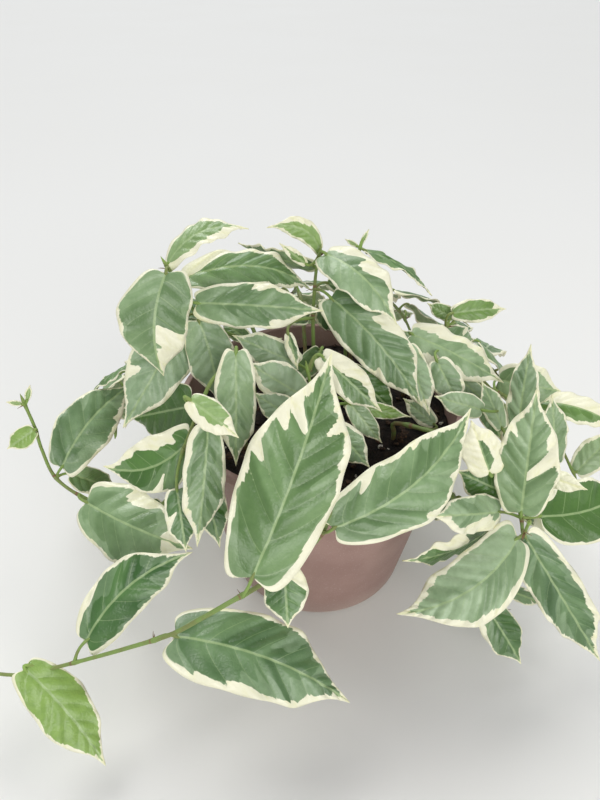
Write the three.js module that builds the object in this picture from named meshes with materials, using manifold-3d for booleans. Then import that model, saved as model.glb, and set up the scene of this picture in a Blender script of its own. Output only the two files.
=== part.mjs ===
// A potted trailing fig with cream-edged leaves. Millimetres, +Z up.
// The axis of the pot is the Z axis, and the underside of the pot is at z = 0.
// The side that faces the viewer is -Y. Every leafy stem is one body: the stem,
// its petioles and its blades, standing in a hole of its own in the soil.
import * as THREE from "three";
import { mergeVertices } from "three/addons/utils/BufferGeometryUtils.js";
import Module from "manifold-3d";

const { Vector3 } = THREE;
const { degToRad, smoothstep } = THREE.MathUtils;

// The view in which the plant was measured: a picture of 600 x 800 pixels,
// level from side to side and pitched down at the pot.
const FOCAL_PX = 601;
const CENTRE_PX = [300, 400];
const EYE = new Vector3(-8.5, -205, 252);
const PITCH = degToRad(37.6);

// The pot is a plain tapered plastic pot with a small lip and drain holes.
const POT_HEIGHT = 97;
const FOOT_RADIUS = 41;
const BASE_RADIUS = 42.6;
const TOP_RADIUS = 59;
const LIP_RADIUS = 60;
const LIP_HEIGHT = 4;
const WALL = 1.5;
const FLOOR = 2;
const DRAIN_HOLES = 5;
const DRAIN_RADIUS = 4;
const DRAIN_RING_RADIUS = 25;
const POT_SIDES = 40;

// The soil fills the pot to a little below the lip and is rough on top.
const SOIL_TOP = 88;
const SOIL_SIDES = 24;
const ROOT_DEPTH = 26;
const GAP = 0.35;

// Stems, petioles and blades.
const STEM_BASE_RADIUS = 1.5;
const STEM_TIP_RADIUS = 0.9;
const STEM_SIDES = 5;
const STEM_STEP = 12;
const PETIOLE_RADIUS = 0.85;
const PETIOLE_ROOT_RADIUS = 0.5;
const BLADE_THICKNESS = 0.9;

// How a blade is cut into triangles: where its rows lie between base and tip
// and where its columns lie between the right margin and the left one.
const LARGE_BLADE = 50;
const LARGE_ROWS = [0.012, 0.1, 0.26, 0.45, 0.65, 0.83, 0.985];
const LARGE_COLUMNS = [-1, -0.5, 0, 0.5, 1];
const SMALL_ROWS = [0.012, 0.16, 0.42, 0.72, 0.985];
const SMALL_COLUMNS = [-1, 0, 1];

// The outline of a blade: round at the base, long drawn at the tip.
const BASE_POWER = 0.5;
const TIP_POWER = 1;
const DRAWN_IN = 0.55;
const DRAWN_FROM = 0.6;
const DRAWN_TO = 0.92;
const WIDEST_AT = BASE_POWER / (BASE_POWER + TIP_POWER);
const WIDEST = WIDEST_AT ** BASE_POWER * (1 - WIDEST_AT) ** TIP_POWER;
const LOBE = 0.07;
const LOBE_AT = 0.05;

// The relief of a blade: fold along the midrib and waves along the margins.
const FOLD = degToRad(8);
const WAVE_HEIGHT = 0.025;
const WAVES = 2.2;
const OTHER_MARGIN_PHASE = 1.7;

// Leafy stems seen in the picture. A path point, "at" (where a blade starts) and
// "to" (its tip) are [pixel column, pixel row, Y in mm]. w is width over length,
// roll turns the blade about its midrib away from the eye, arch lifts the midrib
// and sway bends it to its left, both as parts of the length.
const VINES = [
  {"name": "front_left_runner", "root": [2, -36], "path": [[331, 490, -57], [330, 510, -67], [322, 533, -69], [300, 556, -74], [262, 584, -83], [232, 601, -90], [204, 617, -92], [172, 634, -93], [131, 647, -93], [92, 658, -92], [53, 668, -92], [20, 675, -93], [-18, 671, -93], [-50, 660, -91]],
   "leaves": [
    {"id": "L30", "at": [334, 528, -71], "to": [471, 408, -35], "w": 0.39, "roll": -8, "arch": 0.03, "sway": -0.1},
    {"id": "L31", "at": [252, 578, -87], "to": [332, 352, -39], "w": 0.43, "roll": -4, "arch": 0.03, "sway": -0.02},
    {"id": "L48", "at": [284, 566, -80], "to": [288, 628, -92], "w": 0.7, "roll": 0, "arch": 0.05},
    {"id": "L32", "at": [175, 636, -90], "to": [350, 703, -98], "w": 0.41, "roll": 8, "arch": 0.06, "sway": 0.05},
    {"id": "L34", "at": [86, 641, -87], "to": [193, 552, -64], "w": 0.42, "roll": 0, "arch": 0.05, "sway": 0.11},
    {"id": "L33", "at": [25, 669, -94], "to": [106, 766, -113], "w": 0.39, "roll": 0, "arch": 0.04, "sway": 0.03},
    {"id": "L70", "at": [-20, 664, -90], "to": [-66, 612, -72], "w": 0.42, "roll": 10, "arch": 0.05},
    {"id": "L71", "at": [-54, 656, -91], "to": [-92, 668, -98], "w": 0.42, "roll": 0, "arch": 0.05}
   ]},
  {"name": "front_right_shoot", "root": [30, -18], "path": [[426, 430, -26], [474, 446, -34], [506, 478, -42], [520, 512, -49], [523, 533, -56], [529, 523, -64]],
   "leaves": [
    {"id": "L17", "at": [521, 513, -51], "to": [537, 388, -38], "w": 0.42, "roll": 0, "arch": 0.06},
    {"id": "L18", "at": [518, 538, -58], "to": [396, 614, -76], "w": 0.46, "roll": 0, "arch": 0.05, "sway": 0.12},
    {"id": "L19", "at": [525, 536, -57], "to": [600, 661, -76], "w": 0.28, "roll": 0, "arch": 0.05},
    {"id": "L20", "at": [540, 516, -50], "to": [628, 486, -30], "w": 0.52, "roll": 0, "arch": 0.04, "sway": -0.08},
    {"id": "L28", "at": [500, 512, -48], "to": [430, 516, -64], "w": 0.38, "roll": 10, "arch": 0.05},
    {"id": "L29", "at": [508, 494, -42], "to": [456, 470, -38], "w": 0.66, "roll": 10, "arch": 0.05},
    {"id": "L91", "at": [526, 500, -42], "to": [568, 522, -32], "w": 0.44, "roll": 0, "arch": 0.08},
    {"id": "L62", "at": [490, 474, -45], "to": [471, 420, -38], "w": 0.66, "roll": 0, "arch": 0.05},
    {"id": "L21", "at": [541, 474, -43], "to": [588, 490, -54], "w": 0.42, "roll": 0, "arch": 0.05},
    {"id": "L103", "at": [434, 424, -13], "to": [403, 398, -4], "w": 0.5, "roll": 0, "arch": 0.06}
   ]},
  {"name": "low_right_runner", "root": [38, -30], "path": [[416, 444, -42], [432, 463, -46], [455, 500, -46], [478, 532, -48], [488, 560, -50], [494, 588, -53], [502, 610, -58]],
   "leaves": [
    {"id": "L27", "at": [488, 531, -47], "to": [402, 561, -61], "w": 0.42, "roll": 62, "arch": 0.08},
    {"id": "L25", "at": [484, 604, -59], "to": [521, 664, -72], "w": 0.5, "roll": 15, "arch": 0.06},
    {"id": "L26", "at": [508, 590, -50], "to": [544, 604, -56], "w": 0.45, "roll": 10, "arch": 0.04},
    {"id": "L92", "at": [456, 498, -38], "to": [424, 518, -32], "w": 0.44, "roll": 0, "arch": 0.08},
    {"id": "L93", "at": [484, 560, -44], "to": [522, 546, -32], "w": 0.44, "roll": 0, "arch": 0.08}
   ]},
  {"name": "right_arch", "root": [26, 8], "path": [[392, 366, 12], [406, 340, 14], [442, 350, 12], [478, 376, 6], [506, 408, -5], [516, 434, -14]],
   "leaves": [
    {"id": "L15", "at": [412, 334, 12], "to": [504, 383, 0], "w": 0.44, "roll": 25, "arch": 0.06},
    {"id": "L56", "at": [406, 347, 3], "to": [430, 416, -18], "w": 0.42, "roll": 0, "arch": 0.05},
    {"id": "L59", "at": [437, 361, -2], "to": [460, 408, -14], "w": 0.6, "roll": 0, "arch": 0.05},
    {"id": "L16", "at": [518, 430, -18], "to": [531, 344, -4], "w": 0.34, "roll": 10, "arch": 0.05},
    {"id": "L61", "at": [502, 428, -18], "to": [481, 380, -9], "w": 0.42, "roll": -20, "arch": 0.05},
    {"id": "L58", "at": [482, 410, -20], "to": [434, 396, -17], "w": 0.5, "roll": 0, "arch": 0.08}
   ]},
  {"name": "right_far", "root": [38, 12], "path": [[428, 368, 14], [480, 384, 12], [524, 408, 5], [556, 440, -4], [572, 470, -12]],
   "leaves": [
    {"id": "L24", "at": [499, 380, 16], "to": [561, 391, 8], "w": 0.72, "roll": 0, "arch": 0.26},
    {"id": "L23", "at": [536, 402, 7], "to": [622, 430, -8], "w": 0.40, "roll": 30, "arch": 0.10, "sway": 0.05},
    {"id": "L64", "at": [554, 462, -16], "to": [552, 394, -5], "w": 0.40, "roll": -20, "arch": 0.04},
    {"id": "L22", "at": [576, 472, -12], "to": [618, 430, 0], "w": 0.5, "roll": 0, "arch": 0.05},
    {"id": "L60", "at": [460, 379, 3], "to": [490, 406, -4], "w": 0.45, "roll": 0, "arch": 0.05},
    {"id": "L94", "at": [512, 422, 1], "to": [520, 476, -8], "w": 0.44, "roll": 0, "arch": 0.08},
    {"id": "L95", "at": [484, 392, 10], "to": [502, 442, 0], "w": 0.44, "roll": 0, "arch": 0.08}
   ]},
  {"name": "right_shoot", "root": [28, 26], "path": [[424, 364, 24], [436, 345, 26], [446, 327, 28]],
   "leaves": [
    {"id": "L14", "at": [453, 313, 27], "to": [506, 309, 31], "w": 0.42, "roll": 10, "arch": 0.12},
    {"id": "L74", "at": [453, 317, 31], "to": [427, 303, 34], "w": 0.55, "roll": 10, "arch": 0.1},
    {"id": "L96", "at": [430, 350, 28], "to": [402, 330, 42], "w": 0.44, "roll": 0, "arch": 0.08},
    {"id": "L97", "at": [440, 336, 31], "to": [474, 340, 46], "w": 0.44, "roll": 0, "arch": 0.08}
   ]},
  {"name": "crown_shoot", "root": [-2, 6], "path": [[313, 325, 9], [314, 298, 11], [316, 272, 14], [319, 256, 16]],
   "leaves": [
    {"id": "L8", "at": [320, 250, 19], "to": [266, 228, 15], "w": 0.37, "roll": 10, "arch": 0.10, "sway": -0.22},
    {"id": "L10", "at": [326, 254, 11], "to": [397, 325, -8], "w": 0.48, "roll": 25, "arch": 0.22},
    {"id": "L7", "at": [314, 266, 20], "to": [238, 243, 34], "w": 0.36, "roll": 60, "arch": 0.05},
    {"id": "L9", "at": [306, 264, 13], "to": [279, 243, 11], "w": 0.30, "roll": 0, "arch": 0.08},
    {"id": "L11", "at": [331, 298, 5], "to": [422, 407, -16], "w": 0.38, "roll": 0, "arch": 0.05, "sway": 0.05},
    {"id": "L68", "at": [328, 283, 16], "to": [370, 297, 12], "w": 0.36, "roll": 0, "arch": 0.1},
    {"id": "L69", "at": [288, 334, -9], "to": [298, 370, -17], "w": 0.34, "roll": 0, "arch": 0.08},
    {"id": "L80", "at": [308, 318, 16], "to": [262, 300, 30], "w": 0.44, "roll": 0, "arch": 0.08},
    {"id": "L81", "at": [320, 306, 16], "to": [340, 330, 28], "w": 0.44, "roll": 0, "arch": 0.08}
   ]},
  {"name": "left_arch", "root": [-16, -2], "path": [[250, 346, 2], [220, 330, 0], [196, 313, -3], [182, 290, -5], [168, 268, -5]],
   "leaves": [
    {"id": "L1", "at": [168, 263, -1], "to": [249, 229, 8], "w": 0.40, "roll": 45, "arch": 0.16, "sway": 0.09},
    {"id": "L2", "at": [166, 273, -10], "to": [164, 376, -22], "w": 0.66, "roll": 0, "arch": 0.12, "sway": -0.10},
    {"id": "L4", "at": [199, 321, -9], "to": [218, 402, -17], "w": 0.54, "roll": 0, "arch": 0.05, "sway": 0.04},
    {"id": "L3", "at": [187, 317, -4], "to": [123, 428, -28], "w": 0.44, "roll": 0, "arch": 0.05},
    {"id": "L5", "at": [197, 303, -6], "to": [324, 311, -3], "w": 0.37, "roll": 12, "arch": 0.05},
    {"id": "L6", "at": [186, 277, 7], "to": [312, 291, 22], "w": 0.32, "roll": 30, "arch": 0.20, "sway": 0.04},
    {"id": "L52", "at": [248, 340, 5], "to": [220, 320, 12], "w": 0.5, "roll": 0, "arch": 0.05},
    {"id": "L85", "at": [222, 342, 6], "to": [192, 358, 18], "w": 0.44, "roll": 0, "arch": 0.08},
    {"id": "L86", "at": [262, 352, 9], "to": [282, 338, 22], "w": 0.44, "roll": 0, "arch": 0.08},
    {"id": "L87", "at": [204, 320, 5], "to": [184, 298, 22], "w": 0.44, "roll": 0, "arch": 0.08}
   ]},
  {"name": "left_runner", "root": [-38, -14], "path": [[226, 426, -30], [204, 442, -38], [180, 480, -40], [158, 507, -36], [125, 510, -32], [85, 498, -32], [56, 478, -29], [42, 450, -27], [35, 428, -27], [25, 405, -25]],
   "leaves": [
    {"id": "L36", "at": [62, 467, -25], "to": [134, 384, 14], "w": 0.47, "roll": 0, "arch": 0.05, "sway": 0.08},
    {"id": "L35", "at": [86, 502, -38], "to": [193, 549, -56], "w": 0.58, "roll": 0, "arch": 0.05, "sway": -0.03},
    {"id": "L45", "at": [72, 474, -24], "to": [118, 490, -14], "w": 0.45, "roll": 0, "arch": 0.04},
    {"id": "L44", "at": [34, 430, -29], "to": [7, 449, -33], "w": 0.62, "roll": 0, "arch": 0.05},
    {"id": "L43", "at": [22, 404, -26], "to": [6, 402, -28], "w": 0.4, "roll": 0, "arch": 0.05},
    {"id": "L73", "at": [27, 400, -24], "to": [30, 385, -22], "w": 0.4, "roll": 0, "arch": 0.05},
    {"id": "L47", "at": [203, 472, -47], "to": [220, 548, -60], "w": 0.40, "roll": 0, "arch": 0.04},
    {"id": "L88", "at": [184, 458, -38], "to": [160, 478, -26], "w": 0.44, "roll": 0, "arch": 0.08},
    {"id": "L89", "at": [150, 502, -34], "to": [162, 542, -32], "w": 0.44, "roll": 0, "arch": 0.08},
    {"id": "L90", "at": [118, 506, -32], "to": [98, 542, -20], "w": 0.44, "roll": 0, "arch": 0.08}
   ]},
  {"name": "left_mid", "root": [-30, -26], "path": [[254, 390, -24], [238, 366, -25], [214, 378, -32], [198, 412, -39], [184, 448, -45]],
   "leaves": [
    {"id": "L37", "at": [190, 439, -42], "to": [103, 466, -44], "w": 0.6, "roll": 0, "arch": 0.03, "sway": 0.16},
    {"id": "L38", "at": [208, 428, -46], "to": [197, 547, -69], "w": 0.36, "roll": 10, "arch": 0.05},
    {"id": "L40", "at": [190, 400, -51], "to": [239, 438, -59], "w": 0.5, "roll": 10, "arch": 0.08},
    {"id": "L39", "at": [236, 352, -30], "to": [236, 466, -44], "w": 0.34, "roll": 0, "arch": 0.05},
    {"id": "L41", "at": [192, 406, -25], "to": [131, 418, -4], "w": 0.54, "roll": 0, "arch": 0.03},
    {"id": "L46", "at": [177, 490, -54], "to": [186, 552, -67], "w": 0.5, "roll": 0, "arch": 0.03}
   ]},
  {"name": "centre_shoot", "root": [4, -16], "path": [[322, 420, -20], [313, 395, -20], [308, 372, -18]],
   "leaves": [
    {"id": "L49", "at": [304, 397, -22], "to": [245, 361, -22], "w": 0.55, "roll": 0, "arch": 0.15},
    {"id": "L50", "at": [298, 364, -12], "to": [232, 335, -8], "w": 0.45, "roll": 0, "arch": 0.05},
    {"id": "L51", "at": [302, 424, -32], "to": [252, 392, -28], "w": 0.52, "roll": 0, "arch": 0.08},
    {"id": "L53", "at": [322, 356, -16], "to": [382, 412, -26], "w": 0.42, "roll": 0, "arch": 0.04},
    {"id": "L55", "at": [334, 426, -28], "to": [370, 468, -43], "w": 0.55, "roll": 0, "arch": 0.04},
    {"id": "L57", "at": [346, 404, -17], "to": [411, 417, -17], "w": 0.24, "roll": 0, "arch": 0.1},
    {"id": "L98", "at": [350, 370, -8], "to": [396, 414, -11], "w": 0.45, "roll": 0, "arch": 0.08},
    {"id": "L99", "at": [350, 404, -24], "to": [382, 443, -30], "w": 0.42, "roll": 0, "arch": 0.05},
    {"id": "L100", "at": [320, 350, -2], "to": [294, 384, -4], "w": 0.5, "roll": 0, "arch": 0.05}
   ]},
  {"name": "top_right_shoot", "root": [12, 22], "path": [[348, 300, 28], [350, 278, 30], [356, 262, 32], [360, 248, 33]],
   "leaves": [
    {"id": "L12", "at": [366, 251, 31], "to": [432, 296, 24], "w": 0.3, "roll": 72, "arch": 0.10},
    {"id": "L13", "at": [361, 244, 34], "to": [369, 229, 36], "w": 0.3, "roll": 0, "arch": 0.05},
    {"id": "L72", "at": [357, 246, 35], "to": [345, 239, 38], "w": 0.35, "roll": 0, "arch": 0.05},
    {"id": "L82", "at": [354, 300, 32], "to": [392, 306, 46], "w": 0.44, "roll": 0, "arch": 0.08},
    {"id": "L83", "at": [345, 318, 28], "to": [318, 300, 46], "w": 0.44, "roll": 0, "arch": 0.08},
    {"id": "L84", "at": [352, 330, 25], "to": [386, 352, 19], "w": 0.44, "roll": 0, "arch": 0.08}
   ]}
];

// Leafy stems on the far side: points in mm, leaves set out by a seeded rule.
const FAR_VINES = [
  {"name": "back_left", "root": [-24, 22], "points": [[-34, 42, 112], [-50, 58, 110], [-70, 70, 90], [-84, 76, 64], [-90, 80, 38]], "count": 9, "size": 44, "seed": 20},
  {"name": "back_middle", "root": [-6, 34], "points": [[-8, 50, 116], [-12, 68, 110], [-18, 90, 86], [-22, 106, 58], [-24, 114, 32]], "count": 9, "size": 46, "seed": 1},
  {"name": "back_right", "root": [16, 36], "points": [[24, 52, 114], [36, 68, 106], [50, 84, 84], [60, 96, 58], [66, 102, 34]], "count": 9, "size": 46, "seed": 9},
  {"name": "right_back", "root": [36, 32], "points": [[58, 44, 103], [80, 48, 86], [98, 50, 66], [108, 50, 40]], "count": 6, "size": 40, "seed": 24},
  {"name": "left_back", "root": [-42, 6], "points": [[-62, 18, 102], [-82, 26, 92], [-98, 32, 70], [-106, 36, 44]], "count": 7, "size": 40, "seed": 3}
];

const UP = new Vector3(0, 0, 1);

// k1 * v1 + k2 * v2 + ... for [k, v] pairs.
function combine(...pairs) {
  return pairs.reduce((out, [k, v]) => out.addScaledVector(v, k), new Vector3());
}

// The point seen at a pixel, at the depth where its Y is the one given.
function spot([column, row, y]) {
  const across = (column - CENTRE_PX[0]) / FOCAL_PX;
  const up = (CENTRE_PX[1] - row) / FOCAL_PX;
  const ray = new Vector3(
    across,
    Math.cos(PITCH) + up * Math.sin(PITCH),
    up * Math.cos(PITCH) - Math.sin(PITCH),
  );
  return combine([1, EYE], [(y - EYE.y) / ray.y, ray]);
}

// Numbers from 0 to 1, the same at every run for one seed.
function draws(seed) {
  let state = seed >>> 0;
  return () => {
    state = (state + 0x6d2b79f5) >>> 0;
    let t = Math.imul(state ^ (state >>> 15), 1 | state) >>> 0;
    t = ((t + (Math.imul(t ^ (t >>> 7), 61 | t) >>> 0)) ^ t) >>> 0;
    return ((t ^ (t >>> 14)) >>> 0) / 2 ** 32;
  };
}

// The line of a stem: straight up out of its hole, then smoothly along its points.
function stemLine(vine) {
  const [x, y] = vine.root;
  const above = vine.path
    ? vine.path.map(spot)
    : vine.points.map((p) => new Vector3(...p));
  const points = [
    new Vector3(x, y, SOIL_TOP + 3),
    new Vector3(x, y, SOIL_TOP + 8),
    ...above,
  ];
  const reach = points.slice(1).reduce((all, p, i) => all + p.distanceTo(points[i]), 0);
  const curve = new THREE.CatmullRomCurve3(points, false, "catmullrom", 0.5);
  const foot = new Vector3(x, y, SOIL_TOP - ROOT_DEPTH);
  return [foot, ...curve.getSpacedPoints(Math.round(reach / STEM_STEP))];
}

// Where a blade lies: its base, its length and three axes, a along the
// midrib, s to its left and n out of its upper face.
function bladeFrame(leaf) {
  const base = leaf.at ? spot(leaf.at) : leaf.base;
  const tip = leaf.to ? spot(leaf.to) : leaf.end;
  const a = tip.clone().sub(base).normalize();
  const face = leaf.face ?? combine([1, EYE], [-0.5, base], [-0.5, tip]);
  const up = combine([1, face], [-face.dot(a), a]).normalize();
  const left = up.clone().cross(a);
  const roll = degToRad(leaf.roll ?? 0);
  return {
    base,
    size: tip.distanceTo(base),
    a,
    s: combine([Math.cos(roll), left], [-Math.sin(roll), up]),
    n: combine([Math.cos(roll), up], [Math.sin(roll), left]),
  };
}

// A point of the middle surface of a blade. t runs from its base to its tip
// and v from -1 at the right margin to 1 at the left one.
function bladePoint(leaf, frame, t, v) {
  const { base, size, a, s, n } = frame;
  const side = Math.abs(v);
  const full = Math.max(t, 0) ** BASE_POWER * Math.max(1 - t, 0) ** TIP_POWER / WIDEST;
  const half = full * (1 - DRAWN_IN * smoothstep(t, DRAWN_FROM, DRAWN_TO));
  const lobe = LOBE * (Math.sin(Math.PI * t) - t / LOBE_AT * Math.exp(1 - t / LOBE_AT));
  const along = t + side * lobe;
  const bow = 4 * along * (1 - along);
  const across = 0.5 * size * leaf.w * half * v;
  const phase = (leaf.phase ?? 0) + (v > 0 ? 0 : OTHER_MARGIN_PHASE);
  const wave = WAVE_HEIGHT * side ** 2 * half * Math.sin(2 * Math.PI * WAVES * t + phase);
  return combine(
    [1, base],
    [size * along, a],
    [across + size * (leaf.sway ?? 0) * bow, s],
    [size * (leaf.arch * bow + wave) - Math.abs(across) * Math.tan(FOLD), n],
  );
}

function bladeNormal(leaf, frame, t, v) {
  const step = 1e-3;
  const forward = bladePoint(leaf, frame, Math.min(t + step, 1), v)
    .sub(bladePoint(leaf, frame, Math.max(t - step, 0), v));
  const leftward = bladePoint(leaf, frame, t, v + step)
    .sub(bladePoint(leaf, frame, t, v - step));
  return forward.cross(leftward).normalize();
}

// A geometry from points and the triangles between them.
function geometryOf(points, triangles) {
  const geometry = new THREE.BufferGeometry().setFromPoints(points);
  geometry.setIndex(triangles.flat());
  return geometry;
}

// A leaf as one closed skin: a petiole from the nearest point of the stem, round
// into a blade of even thickness that is cut into triangles alike on both faces.
function leafGeometry(leaf, line) {
  const frame = bladeFrame(leaf);
  const { base, a, s, n } = frame;
  const large = frame.size >= LARGE_BLADE && leaf.at;
  const rows = large ? LARGE_ROWS : SMALL_ROWS;
  const columns = large ? LARGE_COLUMNS : SMALL_COLUMNS;
  const across = columns.length;
  const sides = 2 * across;
  const rings = [];

  const start = line.reduce((best, p) => (
    p.distanceTo(base) < best.distanceTo(base) ? p : best
  ));
  const bend = combine([1, base], [-Math.min(0.5 * start.distanceTo(base), 6), a]);
  const arc = new THREE.QuadraticBezierCurve3(start, bend, base).getPoints(large ? 2 : 1);
  arc.slice(0, -1).forEach((point, i) => {
    const along = arc[i + 1].clone().sub(arc[Math.max(i - 1, 0)]).normalize();
    const turn = new THREE.Quaternion().setFromUnitVectors(a, along);
    const left = s.clone().applyQuaternion(turn);
    const up = n.clone().applyQuaternion(turn);
    const radius = i ? PETIOLE_RADIUS : PETIOLE_ROOT_RADIUS;
    rings.push(Array.from({ length: sides }, (_, k) => {
      const angle = Math.PI * (across - k - 0.5) / across;
      return combine(
        [1, point],
        [radius * Math.cos(angle), left],
        [radius * Math.sin(angle), up],
      );
    }));
  });
  for (const t of rows) {
    const upper = [];
    const lower = [];
    for (const v of columns) {
      const middle = bladePoint(leaf, frame, t, v);
      const normal = bladeNormal(leaf, frame, t, v);
      upper.push(combine([1, middle], [BLADE_THICKNESS / 2, normal]));
      lower.unshift(combine([1, middle], [-BLADE_THICKNESS / 2, normal]));
    }
    rings.push([...upper, ...lower]);
  }

  const triangles = [];
  const end = (rings.length - 1) * sides;
  for (let i = 0; i < end; i += sides) {
    for (let k = 0; k < sides; k++) {
      const next = (k + 1) % sides;
      const [p, q, r, o] = [i + k, i + k + sides, i + next + sides, i + next];
      const slant = k < across ? columns[k] < 0 : columns[sides - 1 - k] <= 0;
      triangles.push(...(slant ? [[p, q, r], [p, r, o]] : [[p, q, o], [q, r, o]]));
    }
  }
  for (let k = 0; k < across - 1; k++) {
    const [p, q, r, o] = [k, k + 1, sides - 2 - k, sides - 1 - k];
    triangles.push([p, q, r], [p, r, o]);
    triangles.push([end + p, end + r, end + q], [end + p, end + o, end + r]);
  }
  return geometryOf(rings.flat(), triangles);
}

// A bar along a line of points, with a radius at each point.
function barGeometry(line, radii, sides) {
  const points = [];
  const triangles = [];
  const along = line.map((_, i) => line[Math.min(i + 1, line.length - 1)].clone()
    .sub(line[Math.max(i - 1, 0)])
    .normalize());
  const aside = Math.abs(along[0].x) < 0.8 ? new Vector3(1, 0, 0) : new Vector3(0, 1, 0);
  let u = along[0].clone().cross(aside);
  line.forEach((p, i) => {
    u = combine([1, u], [-u.dot(along[i]), along[i]]).normalize();
    const w = along[i].clone().cross(u);
    for (let k = 0; k < sides; k++) {
      const angle = 2 * Math.PI * k / sides;
      points.push(combine([1, p], [radii[i] * Math.cos(angle), u], [radii[i] * Math.sin(angle), w]));
    }
  });
  const end = (line.length - 1) * sides;
  for (let i = 0; i < end; i += sides) {
    for (let k = 0; k < sides; k++) {
      const next = (k + 1) % sides;
      triangles.push([i + k, i + next, i + next + sides]);
      triangles.push([i + k, i + next + sides, i + k + sides]);
    }
  }
  for (let k = 1; k < sides - 1; k++) {
    triangles.push([0, k + 1, k], [end, end + k, end + k + 1]);
  }
  return geometryOf(points, triangles);
}

// The leaves of a far stem: on alternate sides, leaning out and down from it,
// with their faces to the light.
function ruledLeaves(vine) {
  const line = stemLine(vine);
  const reached = [0];
  line.slice(1).forEach((p, i) => reached.push(reached[i] + p.distanceTo(line[i])));
  const draw = draws(vine.seed);
  const first = ROOT_DEPTH + 18;
  const leaves = [];
  for (let i = 0; i < vine.count; i++) {
    const distance = first + (reached.at(-1) - first) * (i + 0.6) / vine.count;
    const k = Math.min(reached.findIndex((d) => d >= distance), line.length - 1);
    const at = line[k];
    const along = line[Math.min(k + 1, line.length - 1)].clone().sub(line[k - 1]).normalize();
    const side = along.clone().cross(UP).normalize().multiplyScalar(i % 2 ? 1 : -1);
    const outward = new Vector3(at.x, at.y, 0).normalize();
    const spread = 0.7 + 0.3 * draw();
    const droop = 0.3 + 0.3 * draw();
    const a = combine([0.55, along], [spread, side], [0.25, outward], [-droop, UP]).normalize();
    const lean = 0.25 * (draw() - 0.5);
    const face = combine([0.9, UP], [0.55, outward], [lean, side]).normalize();
    const size = vine.size * (0.8 + 0.35 * draw()) * (1 - 0.35 * (i / vine.count) ** 2);
    const base = combine([1, at], [7, combine([0.5, a], [0.55, face]).normalize()]);
    leaves.push({
      base,
      end: combine([1, base], [size, a]),
      face,
      w: 0.42,
      arch: 0.05 + 0.06 * draw(),
      phase: 6 * draw(),
      sway: 0.06 * (draw() - 0.5),
    });
  }
  return leaves;
}

const wasm = await Module();
wasm.setup();

// A closed body that can be joined and cut.
function solidOf(geometry) {
  const bare = geometry.clone();
  bare.deleteAttribute("normal");
  bare.deleteAttribute("uv");
  const merged = mergeVertices(bare, 1e-4);
  const index = [...merged.index.array];
  const kept = [];
  for (let i = 0; i < index.length; i += 3) {
    const [a, b, c] = index.slice(i, i + 3);
    if (a !== b && b !== c && c !== a) kept.push(a, b, c);
  }
  return new wasm.Manifold(new wasm.Mesh({
    numProp: 3,
    vertProperties: merged.getAttribute("position").array,
    triVerts: new Uint32Array(kept),
  }));
}

function geometryFrom(solid) {
  const { vertProperties, triVerts } = solid.getMesh();
  const geometry = new THREE.BufferGeometry();
  geometry.setAttribute("position", new THREE.BufferAttribute(vertProperties, 3));
  geometry.setIndex([...triVerts]);
  const faceted = geometry.toNonIndexed();
  faceted.computeVertexNormals();
  return faceted;
}

// A turned body from an outline of [radius, height] points, its axis along Z.
function turned(outline, sides) {
  const points = outline.map(([r, z]) => new THREE.Vector2(r, z));
  return new THREE.LatheGeometry(points, sides).rotateX(Math.PI / 2);
}

// A round hole standing upright.
function hole(x, y, low, high, radius, sides) {
  const geometry = new THREE.CylinderGeometry(radius, radius, high - low, sides);
  geometry.rotateX(Math.PI / 2).translate(x, y, (low + high) / 2);
  return solidOf(geometry);
}

const wallRadius = (z) => BASE_RADIUS + (TOP_RADIUS - BASE_RADIUS) * z / POT_HEIGHT;

function potSolid() {
  const lipLow = POT_HEIGHT - LIP_HEIGHT;
  let pot = solidOf(turned([
    [0, 0],
    [FOOT_RADIUS, 0],
    [wallRadius(1.8), 1.8],
    [wallRadius(lipLow - 0.8), lipLow - 0.8],
    [LIP_RADIUS, lipLow],
    [LIP_RADIUS, POT_HEIGHT - 0.6],
    [LIP_RADIUS - 0.6, POT_HEIGHT],
    [wallRadius(POT_HEIGHT) - WALL, POT_HEIGHT],
    [wallRadius(FLOOR) - WALL, FLOOR],
    [0, FLOOR],
  ], POT_SIDES));
  for (let k = 0; k < DRAIN_HOLES; k++) {
    const angle = 2 * Math.PI * (k + 0.5) / DRAIN_HOLES;
    const x = DRAIN_RING_RADIUS * Math.cos(angle);
    const y = DRAIN_RING_RADIUS * Math.sin(angle);
    pot = pot.subtract(hole(x, y, -1, FLOOR + 1, DRAIN_RADIUS, 10));
  }
  return pot;
}

function soilSolid(vines) {
  const low = FLOOR + GAP;
  const edge = (z) => wallRadius(z) - WALL - GAP;
  const geometry = turned([
    [0, low],
    [edge(low), low],
    [edge(SOIL_TOP - 2), SOIL_TOP - 2],
    [edge(SOIL_TOP) - 1.5, SOIL_TOP],
    [40, SOIL_TOP],
    [22, SOIL_TOP],
    [0, SOIL_TOP],
  ], SOIL_SIDES);
  const position = geometry.getAttribute("position");
  for (let i = 0; i < position.count; i++) {
    const [x, y, z] = [position.getX(i), position.getY(i), position.getZ(i)];
    if (z < SOIL_TOP - 1) continue;
    const clods = 0.9 * Math.sin(0.31 * x + 1.3) * Math.cos(0.27 * y)
      + 0.6 * Math.sin(0.53 * x - 0.41 * y + 0.7);
    position.setZ(i, z + clods);
  }
  let soil = solidOf(geometry);
  const bottom = SOIL_TOP - ROOT_DEPTH - GAP;
  for (const { root: [x, y] } of vines) {
    soil = soil.subtract(hole(x, y, bottom, SOIL_TOP + 4, STEM_BASE_RADIUS + GAP + 0.1, 7));
  }
  return soil;
}

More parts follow.
